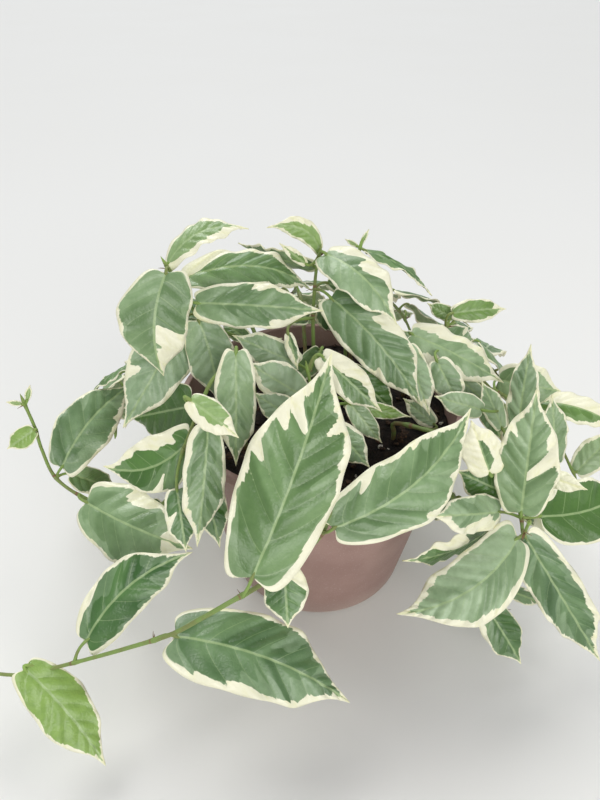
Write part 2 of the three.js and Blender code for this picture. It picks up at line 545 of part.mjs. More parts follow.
function vineSolid(vine) {
  const line = stemLine(vine);
  const taper = (STEM_TIP_RADIUS - STEM_BASE_RADIUS) / (line.length - 1);
  const radii = line.map((_, i) => STEM_BASE_RADIUS + taper * i);
  const leaves = vine.leaves ?? ruledLeaves(vine);
  const stem = solidOf(barGeometry(line, radii, STEM_SIDES));
  return leaves.reduce((body, leaf) => body.add(solidOf(leafGeometry(leaf, line))), stem);
}

// A named mesh whose own origin is at the point given.
function meshOf(name, solid, material, x, y, z) {
  const mesh = new THREE.Mesh(geometryFrom(solid).translate(-x, -y, -z), material);
  mesh.name = name;
  mesh.position.set(x, y, z);
  return mesh;
}

const plastic = new THREE.MeshStandardMaterial({ color: 0x9b7f78, roughness: 0.6 });
const earth = new THREE.MeshStandardMaterial({ color: 0x2a211c, roughness: 1 });
const allVines = [...VINES, ...FAR_VINES];

const plant = new THREE.Group();
plant.name = "potted_ficus_radicans";
plant.add(meshOf("pot", potSolid(), plastic, 0, 0, 0));
plant.add(meshOf("soil", soilSolid(allVines), earth, 0, 0, FLOOR + GAP));
const foliage = new THREE.Group();
for (const vine of allVines) {
  const leafy = new THREE.MeshStandardMaterial({ color: 0x5d8a4f, roughness: 0.5 });
  const [x, y] = vine.root;
  foliage.add(meshOf(vine.name, vineSolid(vine), leafy, x, y, SOIL_TOP));
}
plant.add(foliage);

export default plant;
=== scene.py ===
# A potted trailing fig with cream-edged leaves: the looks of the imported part.
# Sizes are millimetres until a mesh is made, and metres from then on. +Z is up,
# the pot's axis is the Z axis, and the viewer stands on the -Y side.
import random
from math import cos, exp, floor, pi, radians, sin, sqrt, tan

import bpy
import numpy as np
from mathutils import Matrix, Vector, noise


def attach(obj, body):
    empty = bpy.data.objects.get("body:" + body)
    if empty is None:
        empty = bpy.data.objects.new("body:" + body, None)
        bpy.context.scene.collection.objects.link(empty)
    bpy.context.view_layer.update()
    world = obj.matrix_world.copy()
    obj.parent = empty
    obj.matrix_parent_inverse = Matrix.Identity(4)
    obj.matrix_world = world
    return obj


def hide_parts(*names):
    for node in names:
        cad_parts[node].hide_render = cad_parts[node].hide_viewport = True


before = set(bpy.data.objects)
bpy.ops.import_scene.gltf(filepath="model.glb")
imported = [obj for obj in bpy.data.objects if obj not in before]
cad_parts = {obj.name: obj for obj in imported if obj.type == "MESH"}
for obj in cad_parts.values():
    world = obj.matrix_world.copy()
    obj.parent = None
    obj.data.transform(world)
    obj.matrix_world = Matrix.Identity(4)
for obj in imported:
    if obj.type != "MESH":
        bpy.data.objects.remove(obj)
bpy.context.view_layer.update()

MM = 0.001

# The view in which the plant was measured: a picture of 600 x 800 pixels.
PICTURE = (600, 800)
FOCAL_PX = 601
EYE = np.array([-8.5, -205.0, 252.0])
PITCH = radians(37.6)
SENSOR = 36.0

# The pot.
POT_HEIGHT = 97.0
FOOT_RADIUS = 41.0
FOOT_RECESS = 1.1
BASE_RADIUS = 42.6
TOP_RADIUS = 59.0
LIP_RADIUS = 60.0
LIP_HEIGHT = 4.0
WALL = 1.5
FLOOR = 2.0
DRAIN_HOLES = 5
DRAIN_RADIUS = 4.0
DRAIN_RING_RADIUS = 25.0
DRAIN_SIDES = 32
POT_SIDES = 192

# The soil, and the loose bits on it: how many, their sizes, and how flat they are.
SOIL_TOP = 88.0
SOIL_GAP = 0.35
SOIL_SIDES = 240
SOIL_RINGS = 72
SOIL_SLUMP = 2.2
GRIT_RADIUS = 53.0
PERLITE = {"count": 90, "sizes": (0.5, 1.3), "flat": 0.8, "seed": 5}
BARK_CHIPS = {"count": 260, "sizes": (0.8, 2.6), "flat": 0.4, "seed": 11}

# Stems and petioles.
ROOT_DEPTH = 26.0
STEM_BASE_RADIUS = 1.0
STEM_TIP_RADIUS = 0.6
STEM_SIDES = 12
STEM_STEP = 12.0
FINE_STEP = 1.3
NODE_SWELL = 0.35
NODE_REACH = 1.6
PETIOLE_RADIUS = 0.56
PETIOLE_SIDES = 10
PETIOLE_BEND = 6.0
BUD_LENGTH = 5.4
BUD_RADIUS = 0.85
ROOTLET_RADIUS = 0.22

# The form of a blade, as in the solids.
BASE_POWER = 0.5
TIP_POWER = 1.0
DRAWN_IN = 0.55
DRAWN_FROM = 0.6
DRAWN_TO = 0.92
WIDEST_AT = BASE_POWER / (BASE_POWER + TIP_POWER)
WIDEST = WIDEST_AT ** BASE_POWER * (1 - WIDEST_AT) ** TIP_POWER
LOBE = 0.07
LOBE_AT = 0.05
FOLD = radians(8)
WAVE_HEIGHT = 0.025
WAVES = 2.2
OTHER_MARGIN_PHASE = 1.7
FAR_WIDTH = 0.42

# The finer relief of a blade: ripples of the margin, pillows between the side
# veins, the furrows of the side veins and of the midrib, and the ribs below.
BLADE_THICKNESS = 0.42
RIPPLE_HEIGHT = 0.02
RIPPLES = 5.3
BUCKLE = 0.016
PILLOW = 0.013
FURROW = 0.005
FURROW_WIDTH = 0.15
VEIN_RISE = 0.17
VEIN_STAGGER = 0.25
VEIN_UNEVEN = 0.12
MIDRIB_FURROW = 0.4
MIDRIB_WIDTH = 0.9
RIB_HEIGHT = 0.5
RIB_WIDTH = 0.55
SIDE_RIB_HEIGHT = 0.12
SIDE_RIB_WIDTH = 0.45
EDGE_UNEVEN = 0.045

# A large blade has more side veins and a finer grid than a small one.
LARGE_BLADE = 50.0
LARGE_PAIRS, SMALL_PAIRS = 8, 7
LARGE_GRID, SMALL_GRID = (84, 29), (52, 21)

# Each point of a leafy stem carries nine numbers to its material, three to an
# attribute: its place along the veins, its depth inside the edge and from the
# midrib; the reach of the cream, youth, and paleness (partly painted sheen) or
# cork on a stem; a seed, the distance between veins, and whether it is on the
# underside.
ATTRIBUTES = ("lie", "tint", "kind")
NUMBERS = 3 * len(ATTRIBUTES)
YOUNG, PALE, SEED, UNDER = 4, 5, 6, 8
OTHER_HALF = 300.0

# The order of the materials of a leafy stem.
LEAF, STEM = 0, 1

# Colours, as red, green and blue of 255 on a screen.
DEEP_GREEN = (44, 88, 28)
MID_GREEN = (76, 118, 54)
# A grey sage green: the blades' own pale band beside the cream, and painted sheen where it washes
# whole blades.
SAGE_AND_SHEEN = (166, 188, 152)
YOUNG_GREEN = (146, 178, 88)
UNDERSIDE = (160, 180, 132)
CREAM = (243, 240, 212)
BUTTER = (232, 230, 172)
VEIN = (176, 198, 142)
STEM_GREEN = (110, 128, 74)
STEM_BROWN = (120, 106, 74)
SCALE_BROWN = (128, 92, 66)
POT_MAUVE = (158, 128, 119)
POT_SHADE = (147, 117, 109)
# The soil's own colours, made darker as painted shade under the leaves; the bark chips share the
# darkest.
SOIL_DARK_AND_SHADE = (24, 19, 16)
SOIL_BROWN_AND_SHADE = (52, 40, 31)
GRIT_WHITE = (214, 208, 196)
GRIT_SHADE = (168, 160, 148)
BARK = (78, 55, 38)
FLOOR_PALE = (232, 231, 228)

# Leafy stems seen in the picture: name, root in X and Y, path and leaves. A path
# point, the base of a blade and its tip are (pixel column, pixel row, Y in mm).
# After these a leaf has width over length, arch as a part of the length, its roll
# in degrees and its sway. seen_leaf holds the usual values.
VINES = [
    ("front_left_runner", (2, -36),
     [(331, 490, -57), (330, 510, -67), (322, 533, -69), (300, 556, -74), (262, 584, -83),
      (232, 601, -90), (204, 617, -92), (172, 634, -93), (131, 647, -93), (92, 658, -92),
      (53, 668, -92), (20, 675, -93), (-18, 671, -93), (-50, 660, -91)],
     [("L30", (334, 528, -71), (471, 408, -35), 0.39, 0.03, -8, -0.1),
      ("L31", (252, 578, -87), (332, 352, -39), 0.43, 0.03, -4, -0.02),
      ("L48", (284, 566, -80), (288, 628, -92), 0.7, 0.05),
      ("L32", (175, 636, -90), (350, 703, -98), 0.41, 0.06, 8, 0.05),
      ("L34", (86, 641, -87), (193, 552, -64), 0.42, 0.05, 0, 0.11),
      ("L33", (25, 669, -94), (106, 766, -113), 0.39, 0.04, 0, 0.03),
      ("L70", (-20, 664, -90), (-66, 612, -72), 0.42, 0.05, 10),
      ("L71", (-54, 656, -91), (-92, 668, -98), 0.42, 0.05)]),
    ("front_right_shoot", (30, -18),
     [(426, 430, -26), (474, 446, -34), (506, 478, -42), (520, 512, -49), (523, 533, -56),
      (529, 523, -64)],
     [("L17", (521, 513, -51), (537, 388, -38), 0.42, 0.06),
      ("L18", (518, 538, -58), (396, 614, -76), 0.46, 0.05, 0, 0.12),
      ("L19", (525, 536, -57), (600, 661, -76), 0.28, 0.05),
      ("L20", (540, 516, -50), (628, 486, -30), 0.52, 0.04, 0, -0.08),
      ("L28", (500, 512, -48), (430, 516, -64), 0.38, 0.05, 10),
      ("L29", (508, 494, -42), (456, 470, -38), 0.66, 0.05, 10),
      ("L91", (526, 500, -42), (568, 522, -32)),
      ("L62", (490, 474, -45), (471, 420, -38), 0.66, 0.05),
      ("L21", (541, 474, -43), (588, 490, -54), 0.42, 0.05),
      ("L103", (434, 424, -13), (403, 398, -4), 0.5, 0.06)]),
    ("low_right_runner", (38, -30),
     [(416, 444, -42), (432, 463, -46), (455, 500, -46), (478, 532, -48), (488, 560, -50),
      (494, 588, -53), (502, 610, -58)],
     [("L27", (488, 531, -47), (402, 561, -61), 0.42, 0.08, 62),
      ("L25", (484, 604, -59), (521, 664, -72), 0.5, 0.06, 15),
      ("L26", (508, 590, -50), (544, 604, -56), 0.45, 0.04, 10),
      ("L92", (456, 498, -38), (424, 518, -32)),
      ("L93", (484, 560, -44), (522, 546, -32))]),
    ("right_arch", (26, 8),
     [(392, 366, 12), (406, 340, 14), (442, 350, 12), (478, 376, 6), (506, 408, -5),
      (516, 434, -14)],
     [("L15", (412, 334, 12), (504, 383, 0), 0.44, 0.06, 25),
      ("L56", (406, 347, 3), (430, 416, -18), 0.42, 0.05),
      ("L59", (437, 361, -2), (460, 408, -14), 0.6, 0.05),
      ("L16", (518, 430, -18), (531, 344, -4), 0.34, 0.05, 10),
      ("L61", (502, 428, -18), (481, 380, -9), 0.42, 0.05, -20),
      ("L58", (482, 410, -20), (434, 396, -17), 0.5)]),
    ("right_far", (38, 12),
     [(428, 368, 14), (480, 384, 12), (524, 408, 5), (556, 440, -4), (572, 470, -12)],
     [("L24", (499, 380, 16), (561, 391, 8), 0.72, 0.26),
      ("L23", (536, 402, 7), (622, 430, -8), 0.4, 0.1, 30, 0.05),
      ("L64", (554, 462, -16), (552, 394, -5), 0.4, 0.04, -20),
      ("L22", (576, 472, -12), (618, 430, 0), 0.5, 0.05),
      ("L60", (460, 379, 3), (490, 406, -4), 0.45, 0.05),
      ("L94", (512, 422, 1), (520, 476, -8)),
      ("L95", (484, 392, 10), (502, 442, 0))]),
    ("right_shoot", (28, 26),
     [(424, 364, 24), (436, 345, 26), (446, 327, 28)],
     [("L14", (453, 313, 27), (506, 309, 31), 0.42, 0.12, 10),
      ("L74", (453, 317, 31), (427, 303, 34), 0.55, 0.1, 10),
      ("L96", (430, 350, 28), (402, 330, 42)),
      ("L97", (440, 336, 31), (474, 340, 46))]),
    ("crown_shoot", (-2, 6),
     [(313, 325, 9), (314, 298, 11), (316, 272, 14), (319, 256, 16)],
     [("L8", (320, 250, 19), (266, 228, 15), 0.37, 0.1, 10, -0.22),
      ("L10", (326, 254, 11), (397, 325, -8), 0.48, 0.22, 25),
      ("L7", (314, 266, 20), (238, 243, 34), 0.36, 0.05, 60),
      ("L9", (306, 264, 13), (279, 243, 11), 0.3),
      ("L11", (331, 298, 5), (422, 407, -16), 0.38, 0.05, 0, 0.05),
      ("L68", (328, 283, 16), (370, 297, 12), 0.36, 0.1),
      ("L69", (288, 334, -9), (298, 370, -17), 0.34),
      ("L80", (308, 318, 16), (262, 300, 30)),
      ("L81", (320, 306, 16), (340, 330, 28))]),
    ("left_arch", (-16, -2),
     [(250, 346, 2), (220, 330, 0), (196, 313, -3), (182, 290, -5), (168, 268, -5)],
     [("L1", (168, 263, -1), (249, 229, 8), 0.4, 0.16, 45, 0.09),
      ("L2", (166, 273, -10), (164, 376, -22), 0.66, 0.12, 0, -0.1),
      ("L4", (199, 321, -9), (218, 402, -17), 0.54, 0.05, 0, 0.04),
      ("L3", (187, 317, -4), (123, 428, -28), 0.44, 0.05),
      ("L5", (197, 303, -6), (324, 311, -3), 0.37, 0.05, 12),
      ("L6", (186, 277, 7), (312, 291, 22), 0.32, 0.2, 30, 0.04),
      ("L52", (248, 340, 5), (220, 320, 12), 0.5, 0.05),
      ("L85", (222, 342, 6), (192, 358, 18)),
      ("L86", (262, 352, 9), (282, 338, 22)),
      ("L87", (204, 320, 5), (184, 298, 22))]),
    ("left_runner", (-38, -14),
     [(226, 426, -30), (204, 442, -38), (180, 480, -40), (158, 507, -36), (125, 510, -32),
      (85, 498, -32), (56, 478, -29), (42, 450, -27), (35, 428, -27), (25, 405, -25)],
     [("L36", (62, 467, -25), (134, 384, 14), 0.47, 0.05, 0, 0.08),
      ("L35", (86, 502, -38), (193, 549, -56), 0.58, 0.05, 0, -0.03),
      ("L45", (72, 474, -24), (118, 490, -14), 0.45, 0.04),
      ("L44", (34, 430, -29), (7, 449, -33), 0.62, 0.05),
      ("L43", (22, 404, -26), (6, 402, -28), 0.4, 0.05),
      ("L73", (27, 400, -24), (30, 385, -22), 0.4, 0.05),
      ("L47", (203, 472, -47), (220, 548, -60), 0.4, 0.04),
      ("L88", (184, 458, -38), (160, 478, -26)),
      ("L89", (150, 502, -34), (162, 542, -32)),
      ("L90", (118, 506, -32), (98, 542, -20))]),
    ("left_mid", (-30, -26),
     [(254, 390, -24), (238, 366, -25), (214, 378, -32), (198, 412, -39), (184, 448, -45)],
     [("L37", (190, 439, -42), (103, 466, -44), 0.6, 0.03, 0, 0.16),
      ("L38", (208, 428, -46), (197, 547, -69), 0.36, 0.05, 10),
      ("L40", (190, 400, -51), (239, 438, -59), 0.5, 0.08, 10),
      ("L39", (236, 352, -30), (236, 466, -44), 0.34, 0.05),
      ("L41", (192, 406, -25), (131, 418, -4), 0.54, 0.03),
      ("L46", (177, 490, -54), (186, 552, -67), 0.5, 0.03)]),
    ("centre_shoot", (4, -16),
     [(322, 420, -20), (313, 395, -20), (308, 372, -18)],
     [("L49", (304, 397, -22), (245, 361, -22), 0.55, 0.15),
      ("L50", (298, 364, -12), (232, 335, -8), 0.45, 0.05),
      ("L51", (302, 424, -32), (252, 392, -28), 0.52),
      ("L53", (322, 356, -16), (382, 412, -26), 0.42, 0.04),
      ("L55", (334, 426, -28), (370, 468, -43), 0.55, 0.04),
      ("L57", (346, 404, -17), (411, 417, -17), 0.24, 0.1),
      ("L98", (350, 370, -8), (396, 414, -11), 0.45),
      ("L99", (350, 404, -24), (382, 443, -30), 0.42, 0.05),
      ("L100", (320, 350, -2), (294, 384, -4), 0.5, 0.05)]),
    ("top_right_shoot", (12, 22),
     [(348, 300, 28), (350, 278, 30), (356, 262, 32), (360, 248, 33)],
     [("L12", (366, 251, 31), (432, 296, 24), 0.3, 0.1, 72),
      ("L13", (361, 244, 34), (369, 229, 36), 0.3, 0.05),
      ("L72", (357, 246, 35), (345, 239, 38), 0.35, 0.05),
      ("L82", (354, 300, 32), (392, 306, 46)),
      ("L83", (345, 318, 28), (318, 300, 46)),
      ("L84", (352, 330, 25), (386, 352, 19))]),
]

# The stems of the far side: name, root, points in mm, count and length of the
# leaves, and seed.
FAR_VINES = [
    ("back_left", (-24, 22),
     [(-34, 42, 112), (-50, 58, 110), (-70, 70, 90), (-84, 76, 64), (-90, 80, 38)], 9, 44, 20),
    ("back_middle", (-6, 34),
     [(-8, 50, 116), (-12, 68, 110), (-18, 90, 86), (-22, 106, 58), (-24, 114, 32)], 9, 46, 1),
    ("back_right", (16, 36),
     [(24, 52, 114), (36, 68, 106), (50, 84, 84), (60, 96, 58), (66, 102, 34)], 9, 46, 9),
    ("right_back", (36, 32),
     [(58, 44, 103), (80, 48, 86), (98, 50, 66), (108, 50, 40)], 6, 40, 24),
    ("left_back", (-42, 6),
     [(-62, 18, 102), (-82, 26, 92), (-98, 32, 70), (-106, 36, 44)], 7, 40, 3),
]


def look(right=None, left=None, *patches, **tints):
    """How a leaf differs from the rest. The cream margin has a width in mm on the
    right and on the left of the midrib, seen from above with the tip ahead. A
    patch of cream is (place along the blade, side -1 or 1, reach along it, share
    of the half). "young" turns a blade yellow-green, and "pale" turns it sage,
    partly as its own tone and partly as painted sheen; below zero "pale" turns it
    deep green."""
    if right is None:
        return tints
    return {"rim": (right, left), "patches": patches, **tints}


LOOKS = {
    "L1": look(4.6, 2.6, pale=0.6, young=0.45),
    "L2": look(1.3, 1.6, (0.64, 1, 0.17, 0.95), (0.86, 1, 0.16, 1.0), pale=0.5, young=0.15),
    "L3": look(1.4, 1.6, (0.5, -1, 0.06, 0.4), pale=0.55),
    "L4": look(1.2, 1.2, (0.7, 1, 0.05, 0.3), pale=0.7),
    "L5": look(1.5, 1.3, (0.6, -1, 0.16, 0.3), (0.4, 1, 0.1, 0.28), pale=0.45),
    "L6": look(1.2, 1.8, (0.1, 1, 0.12, 0.9), pale=0.25),
    "L7": look(1.6, 1.6, pale=0.55),
    "L8": look(3.6, 2.0, (0.4, -1, 0.2, 0.45), pale=0.6, young=0.8),
    "L9": look(4.0, 4.0, pale=-0.4, young=0.5),
    "L10": look(1.2, 3.4, (0.42, 1, 0.16, 0.62), (0.12, 1, 0.1, 0.5), pale=0.6),
    "L11": look(1.5, 1.2, (0.32, 1, 0.08, 0.6), (0.55, -1, 0.05, 0.3), pale=0.35),
    "L12": look(1.4, 1.0),
    "L13": look(0.7, 0.7, young=0.9),
    "L14": look(2.6, 2.0, (0.85, 1, 0.1, 0.8), young=0.6),
    "L15": look(2.2, 2.4, (0.22, 1, 0.2, 0.5), (0.35, -1, 0.22, 0.5), (0.56, 1, 0.16, 0.3), pale=1),
    "L16": look(1.3, 1.2, (0.2, -1, 0.16, 0.55), (0.3, 1, 0.08, 0.3), pale=0.7),
    "L17": look(1.1, 1.3, (0.42, -1, 0.055, 1.0), (0.55, -1, 0.08, 0.4), (0.66, 1, 0.05, 0.35),
                pale=0.5),
    "L18": look(2.0, 2.4, pale=1.0, young=0.12),
    "L19": look(1.0, 1.8, pale=0.2),
    "L20": look(1.2, 1.4, (0.12, 1, 0.08, 0.4), pale=-0.75),
    "L21": look(30, 30),
    "L22": look(2.4, 3.4, pale=1, young=0.25),
    "L23": look(2.6, 9.0, (0.5, 1, 0.3, 1.0), young=0.35),
    "L24": look(1.2, 5.0, pale=0.7),
    "L25": look(1.4, 1.0, (0.2, -1, 0.1, 0.3)),
    "L26": look(pale=0.5),
    "L27": look(1.2, 1.2, (0.45, -1, 0.16, 0.9), pale=-0.3),
    "L28": look(0.9, 4.2, (0.3, 1, 0.16, 0.75), pale=0.75),
    "L29": look(1.6, 1.3, pale=-0.2),
    "L30": look(1.1, 1.5, (0.22, 1, 0.04, 0.32), (0.5, 1, 0.03, 0.2), (0.6, -1, 0.04, 0.22),
                (0.34, -1, 0.03, 0.16), pale=0.42),
    "L31": look(1.9, 1.7, (0.72, 1, 0.06, 0.7), (0.84, 1, 0.06, 0.5), (0.62, 1, 0.04, 0.45),
                (0.66, -1, 0.024, 0.5), (0.14, -1, 0.1, 0.2), (0.42, 1, 0.04, 0.26), pale=0.25),
    "L32": look(1.9, 1.2, (0.3, -1, 0.08, 0.24), pale=0.25),
    "L33": look(1.0, 0.9, pale=-0.1, young=1.0),
    "L34": look(1.2, 1.3, (0.12, 1, 0.1, 0.3), pale=0.05),
    "L35": look(1.5, 2.0, (0.88, 1, 0.1, 1.0), (0.86, -1, 0.08, 0.8), (0.36, 1, 0.13, 0.4),
                pale=0.55),
    "L36": look(1.5, 0.8, (0.6, -1, 0.1, 0.3), pale=0.45),
    "L37": look(3.4, 1.4, (0.3, -1, 0.2, 0.55), (0.4, 1, 0.03, 0.5), pale=-0.1),
    "L38": look(pale=0.55),
    "L39": look(1.2, 1.0, pale=0.65),
    "L40": look(9.0, 1.3, (0.8, 1, 0.2, 0.9), pale=0.6, young=0.7),
    "L41": look(0.6, 0.6, pale=-1.0),
    "L43": look(0.6, 0.6, young=0.9),
    "L44": look(1.3, 1.3, young=1.0),
    "L48": look(1.8, 2.6, (0.16, 1, 0.12, 0.7), (0.1, -1, 0.08, 0.5)),
    "L49": look(2.0, 5.0, pale=1),
    "L50": look(2.0, 1.5, pale=0.9),
    "L51": look(1.6, 1.6, pale=1),
    "L52": look(2.0, 2.0, pale=0.5),
    "L53": look(1.5, 4.0, (0.3, 1, 0.24, 0.95), (0.2, -1, 0.2, 0.7)),
    "L55": look(1.2, 2.2, pale=0.65),
    "L56": look(1.6, 1.6, (0.92, 1, 0.12, 1.0), (0.92, -1, 0.12, 1.0), pale=1),
    "L57": look(0.5, 0.5, young=0.9),
    "L58": look(1.0, 1.4, pale=0.9),
    "L59": look(3.5, 3.5, pale=0.8),
    "L60": look(1.0, 1.0, pale=1),
    "L61": look(1.5, 1.5, pale=1, young=0.2),
    "L62": look(12, 30),
    "L64": look(1.4, 1.2, pale=0.5),
    "L68": look(2.4, 1.4),
    "L69": look(9, 3),
    "L70": look(0.8, 0.8, young=0.6),
    "L71": look(0.7, 0.7, young=0.85),
    "L72": look(0.7, 0.7, young=0.9),
    "L73": look(0.6, 0.6, young=0.9),
    "L74": look(1.6, 2.4, young=0.5),
    "L98": look(0.9, 0.9, pale=-0.8),
    "L99": look(1.1, 1.2, pale=1),
    "L100": look(pale=0.4),
    "L103": look(4.0, 4.0, pale=1),
}


def unit(v):
    v = np.asarray(v, float)
    return v / np.linalg.norm(v, axis=-1, keepdims=True)


def spot(column, row, y):
    """The point seen at a pixel, at the depth where its Y is the one given."""
    across = (column - PICTURE[0] / 2) / FOCAL_PX
    up = (PICTURE[1] / 2 - row) / FOCAL_PX
    ray = np.array([
        across,
        cos(PITCH) + up * sin(PITCH),
        up * cos(PITCH) - sin(PITCH),
    ])
    return EYE + ray * (y - EYE[1]) / ray[1]


def draws(seed):
    """Numbers from 0 to 1, the same at every run for one seed, as in the solids."""
    state = seed & 0xffffffff

    def draw():
        nonlocal state
        state = (state + 0x6d2b79f5) & 0xffffffff
        t = ((state ^ (state >> 15)) * (1 | state)) & 0xffffffff
        t = ((t + (((t ^ (t >> 7)) * (61 | t)) & 0xffffffff)) & 0xffffffff) ^ t
        return ((t ^ (t >> 14)) & 0xffffffff) / 2 ** 32

    return draw


def bell(x, width):
    """1 where x is 0, and falling smoothly to 0 on both sides."""
    return np.exp(-(x / width) ** 2)


def bent(start, corner, end, count):
    """Points of a curve that leaves its start and reaches its end towards a corner."""
    u = np.linspace(0, 1, count)[:, None]
    return (1 - u) ** 2 * start + 2 * u * (1 - u) * corner + u ** 2 * end


def polar(radius, angle):
    return radius * cos(angle), radius * sin(angle)


def distances(line):
    """How far along a line each of its points lies."""
    steps = np.linalg.norm(np.diff(line, axis=0), axis=1)
    return np.concatenate([[0], np.cumsum(steps)])


def smooth_line(points, count, samples=201):
    """A smooth line through the points, as count + 1 points evenly spaced along it."""
    p = np.asarray(points, float)
    p = np.vstack([2 * p[0] - p[1], p, 2 * p[-1] - p[-2]])
    spans = len(p) - 3

    def at(t):
        i = np.minimum((t * spans).astype(int), spans - 1)
        u = (t * spans - i)[:, None]
        a, b, c, d = p[i], p[i + 1], p[i + 2], p[i + 3]
        return 0.5 * (2 * b + (c - a) * u + (2 * a - 5 * b + 4 * c - d) * u ** 2
                      + (3 * b - a - 3 * c + d) * u ** 3)

    t = np.linspace(0, 1, samples)
    reached = distances(at(t))
    return at(np.interp(np.linspace(0, 1, count + 1) * reached[-1], reached, t))


def stem_lines(root, above):
    """A stem's line as the solids have it, and the same line in fine steps."""
    x, y = root
    points = np.array([(x, y, SOIL_TOP + 3), (x, y, SOIL_TOP + 8), *above], float)
    reach = distances(points)[-1]
    coarse = smooth_line(points, int(floor(reach / STEM_STEP + 0.5)))
    fine = smooth_line(points, int(reach / FINE_STEP))
    foot = (x, y, SOIL_TOP - ROOT_DEPTH)
    return np.vstack([[foot], coarse]), np.vstack([[(x, y, SOIL_TOP - 8)], fine])


def seen_leaf(name, at, to, width=0.44, arch=0.08, roll=0, sway=0):
    base, tip = spot(*at), spot(*to)
    return make_leaf(name, base, tip, EYE - (base + tip) / 2, LOOKS.get(name, {}),
                     width, arch, sway, roll=roll)


def make_leaf(name, base, tip, face, given, width, arch, sway, roll=0, phase=0.0):
    """A leaf's measures and axes: a along the midrib, s to its left, n out of its
    face. What its given looks leave open is drawn."""
    a = unit(tip - base)
    up = unit(face - (face @ a) * a)
    left = np.cross(up, a)
    turn = radians(roll)
    draw = random.Random(name)
    size = float(np.linalg.norm(tip - base))
    large = size >= LARGE_BLADE
    return {
        "patches": [(draw.uniform(0.2, 0.8), draw.choice((-1, 1)), draw.uniform(0.03, 0.08),
                     draw.uniform(0.3, 0.8)) for _ in range(draw.choice((0, 1, 1, 2)))],
        "young": draw.uniform(0.0, 0.2),
        "pale": draw.uniform(0.0, 0.3),
        "rim": (draw.uniform(0.9, 2.4), draw.uniform(0.9, 2.4)),
        "seed": draw.uniform(0, 40),
        "base": base,
        "size": size,
        "a": a,
        "s": cos(turn) * left - sin(turn) * up,
        "n": cos(turn) * up + sin(turn) * left,
        "width": width,
        "arch": arch,
        "sway": sway,
        "phase": phase,
        "pairs": LARGE_PAIRS if large else SMALL_PAIRS,
        "grid": LARGE_GRID if large else SMALL_GRID,
        **given,
    }


def ruled_leaves(name, line, count, length, seed):
    """The leaves of a far stem, by the same rule as in the solids."""
    reached = distances(line)
    draw = draws(seed)
    first = ROOT_DEPTH + 18
    leaves = []
    for i in range(count):
        distance = first + (reached[-1] - first) * (i + 0.6) / count
        k = min(int(np.searchsorted(reached, distance)), len(line) - 1)
        at = line[k]
        along = unit(line[min(k + 1, len(line) - 1)] - line[k - 1])
        side = unit(np.cross(along, (0, 0, 1))) * (1 if i % 2 else -1)
        outward = unit((at[0], at[1], 0))
        spread = 0.7 + 0.3 * draw()
        droop = 0.3 + 0.3 * draw()
        a = unit(0.55 * along + spread * side + 0.25 * outward - (0, 0, droop))
        lean = 0.25 * (draw() - 0.5)
        face = unit((0, 0, 0.9) + 0.55 * outward + lean * side)
        size = length * (0.8 + 0.35 * draw()) * (1 - 0.35 * (i / count) ** 2)
        base = at + 7 * unit(0.5 * a + 0.55 * face)
        arch = 0.05 + 0.06 * draw()
        phase = 6 * draw()
        sway = 0.06 * (draw() - 0.5)
        young = 0.5 * max(0, i / count - 0.5)
        given = {"young": young} if young > 0 else {}
        leaves.append(make_leaf(f"{name}_{i}", base, base + size * a, face, given,
                                FAR_WIDTH, arch, sway, phase=phase))
    return leaves


def mesh_piece(name, points, faces, materials, smooth=True):
    """A Blender object from points in mm."""
    mesh = bpy.data.meshes.new(name)
    mesh.from_pydata([tuple(c * MM for c in p) for p in points], [], faces)
    mesh.validate()
    if smooth:
        mesh.shade_smooth()
    for material in materials:
        mesh.materials.append(material)
    piece = bpy.data.objects.new(name, mesh)
    bpy.context.scene.collection.objects.link(piece)
    return piece


class Skin:
    """Closed lofts gathered into one mesh, each with a material and looks."""

    def __init__(self):
        self.points, self.faces, self.slots, self.looks = [], [], [], []
        self.count = 0

    def loft(self, rings, slot, looks):
        """A closed body from rings of points that run from the right over the top
        to the left and back below."""
        rows, sides = rings.shape[:2]
        index = np.arange(rows * sides).reshape(rows, sides) + self.count
        p, q = index[:-1], index[1:]
        walls = np.stack([p, q, np.roll(q, -1, 1), np.roll(p, -1, 1)], -1).reshape(-1, 4)
        k = np.arange(sides // 2 - 1)
        first, last = index[0], index[-1]
        start = np.stack([first[k], first[k + 1], first[sides - 2 - k], first[sides - 1 - k]], -1)
        end = np.stack([last[k], last[sides - 1 - k], last[sides - 2 - k], last[k + 1]], -1)
        faces = np.concatenate([walls, start, end])
        self.points.append(rings.reshape(-1, 3))
        self.faces.append(faces)
        self.slots.append(np.full(len(faces), slot, np.int32))
        self.looks.append(np.broadcast_to(looks, (rows, sides, NUMBERS)).reshape(-1, NUMBERS))
        self.count += rows * sides

    def make(self, name, materials):
        """The Blender object of the gathered bodies."""
        faces = np.concatenate(self.faces).tolist()
        piece = mesh_piece(name, np.concatenate(self.points).tolist(), faces, materials)
        piece.data.polygons.foreach_set("material_index", np.concatenate(self.slots))
        looks = np.concatenate(self.looks).astype(np.float32)
        for k, key in enumerate(ATTRIBUTES):
            attribute = piece.data.attributes.new(key, "FLOAT_VECTOR", "POINT")
            attribute.data.foreach_set("vector", looks[:, 3 * k:3 * k + 3].ravel())
        return piece


def frames_along(line, left):
    """Two axes across a line at each of its points, turning as little as they can."""
    lefts, ups = [], []
    for t in unit(np.gradient(line, axis=0)):
        left = unit(left - (left @ t) * t)
        lefts.append(left)
        ups.append(np.cross(t, left))
    return np.array(lefts), np.array(ups)


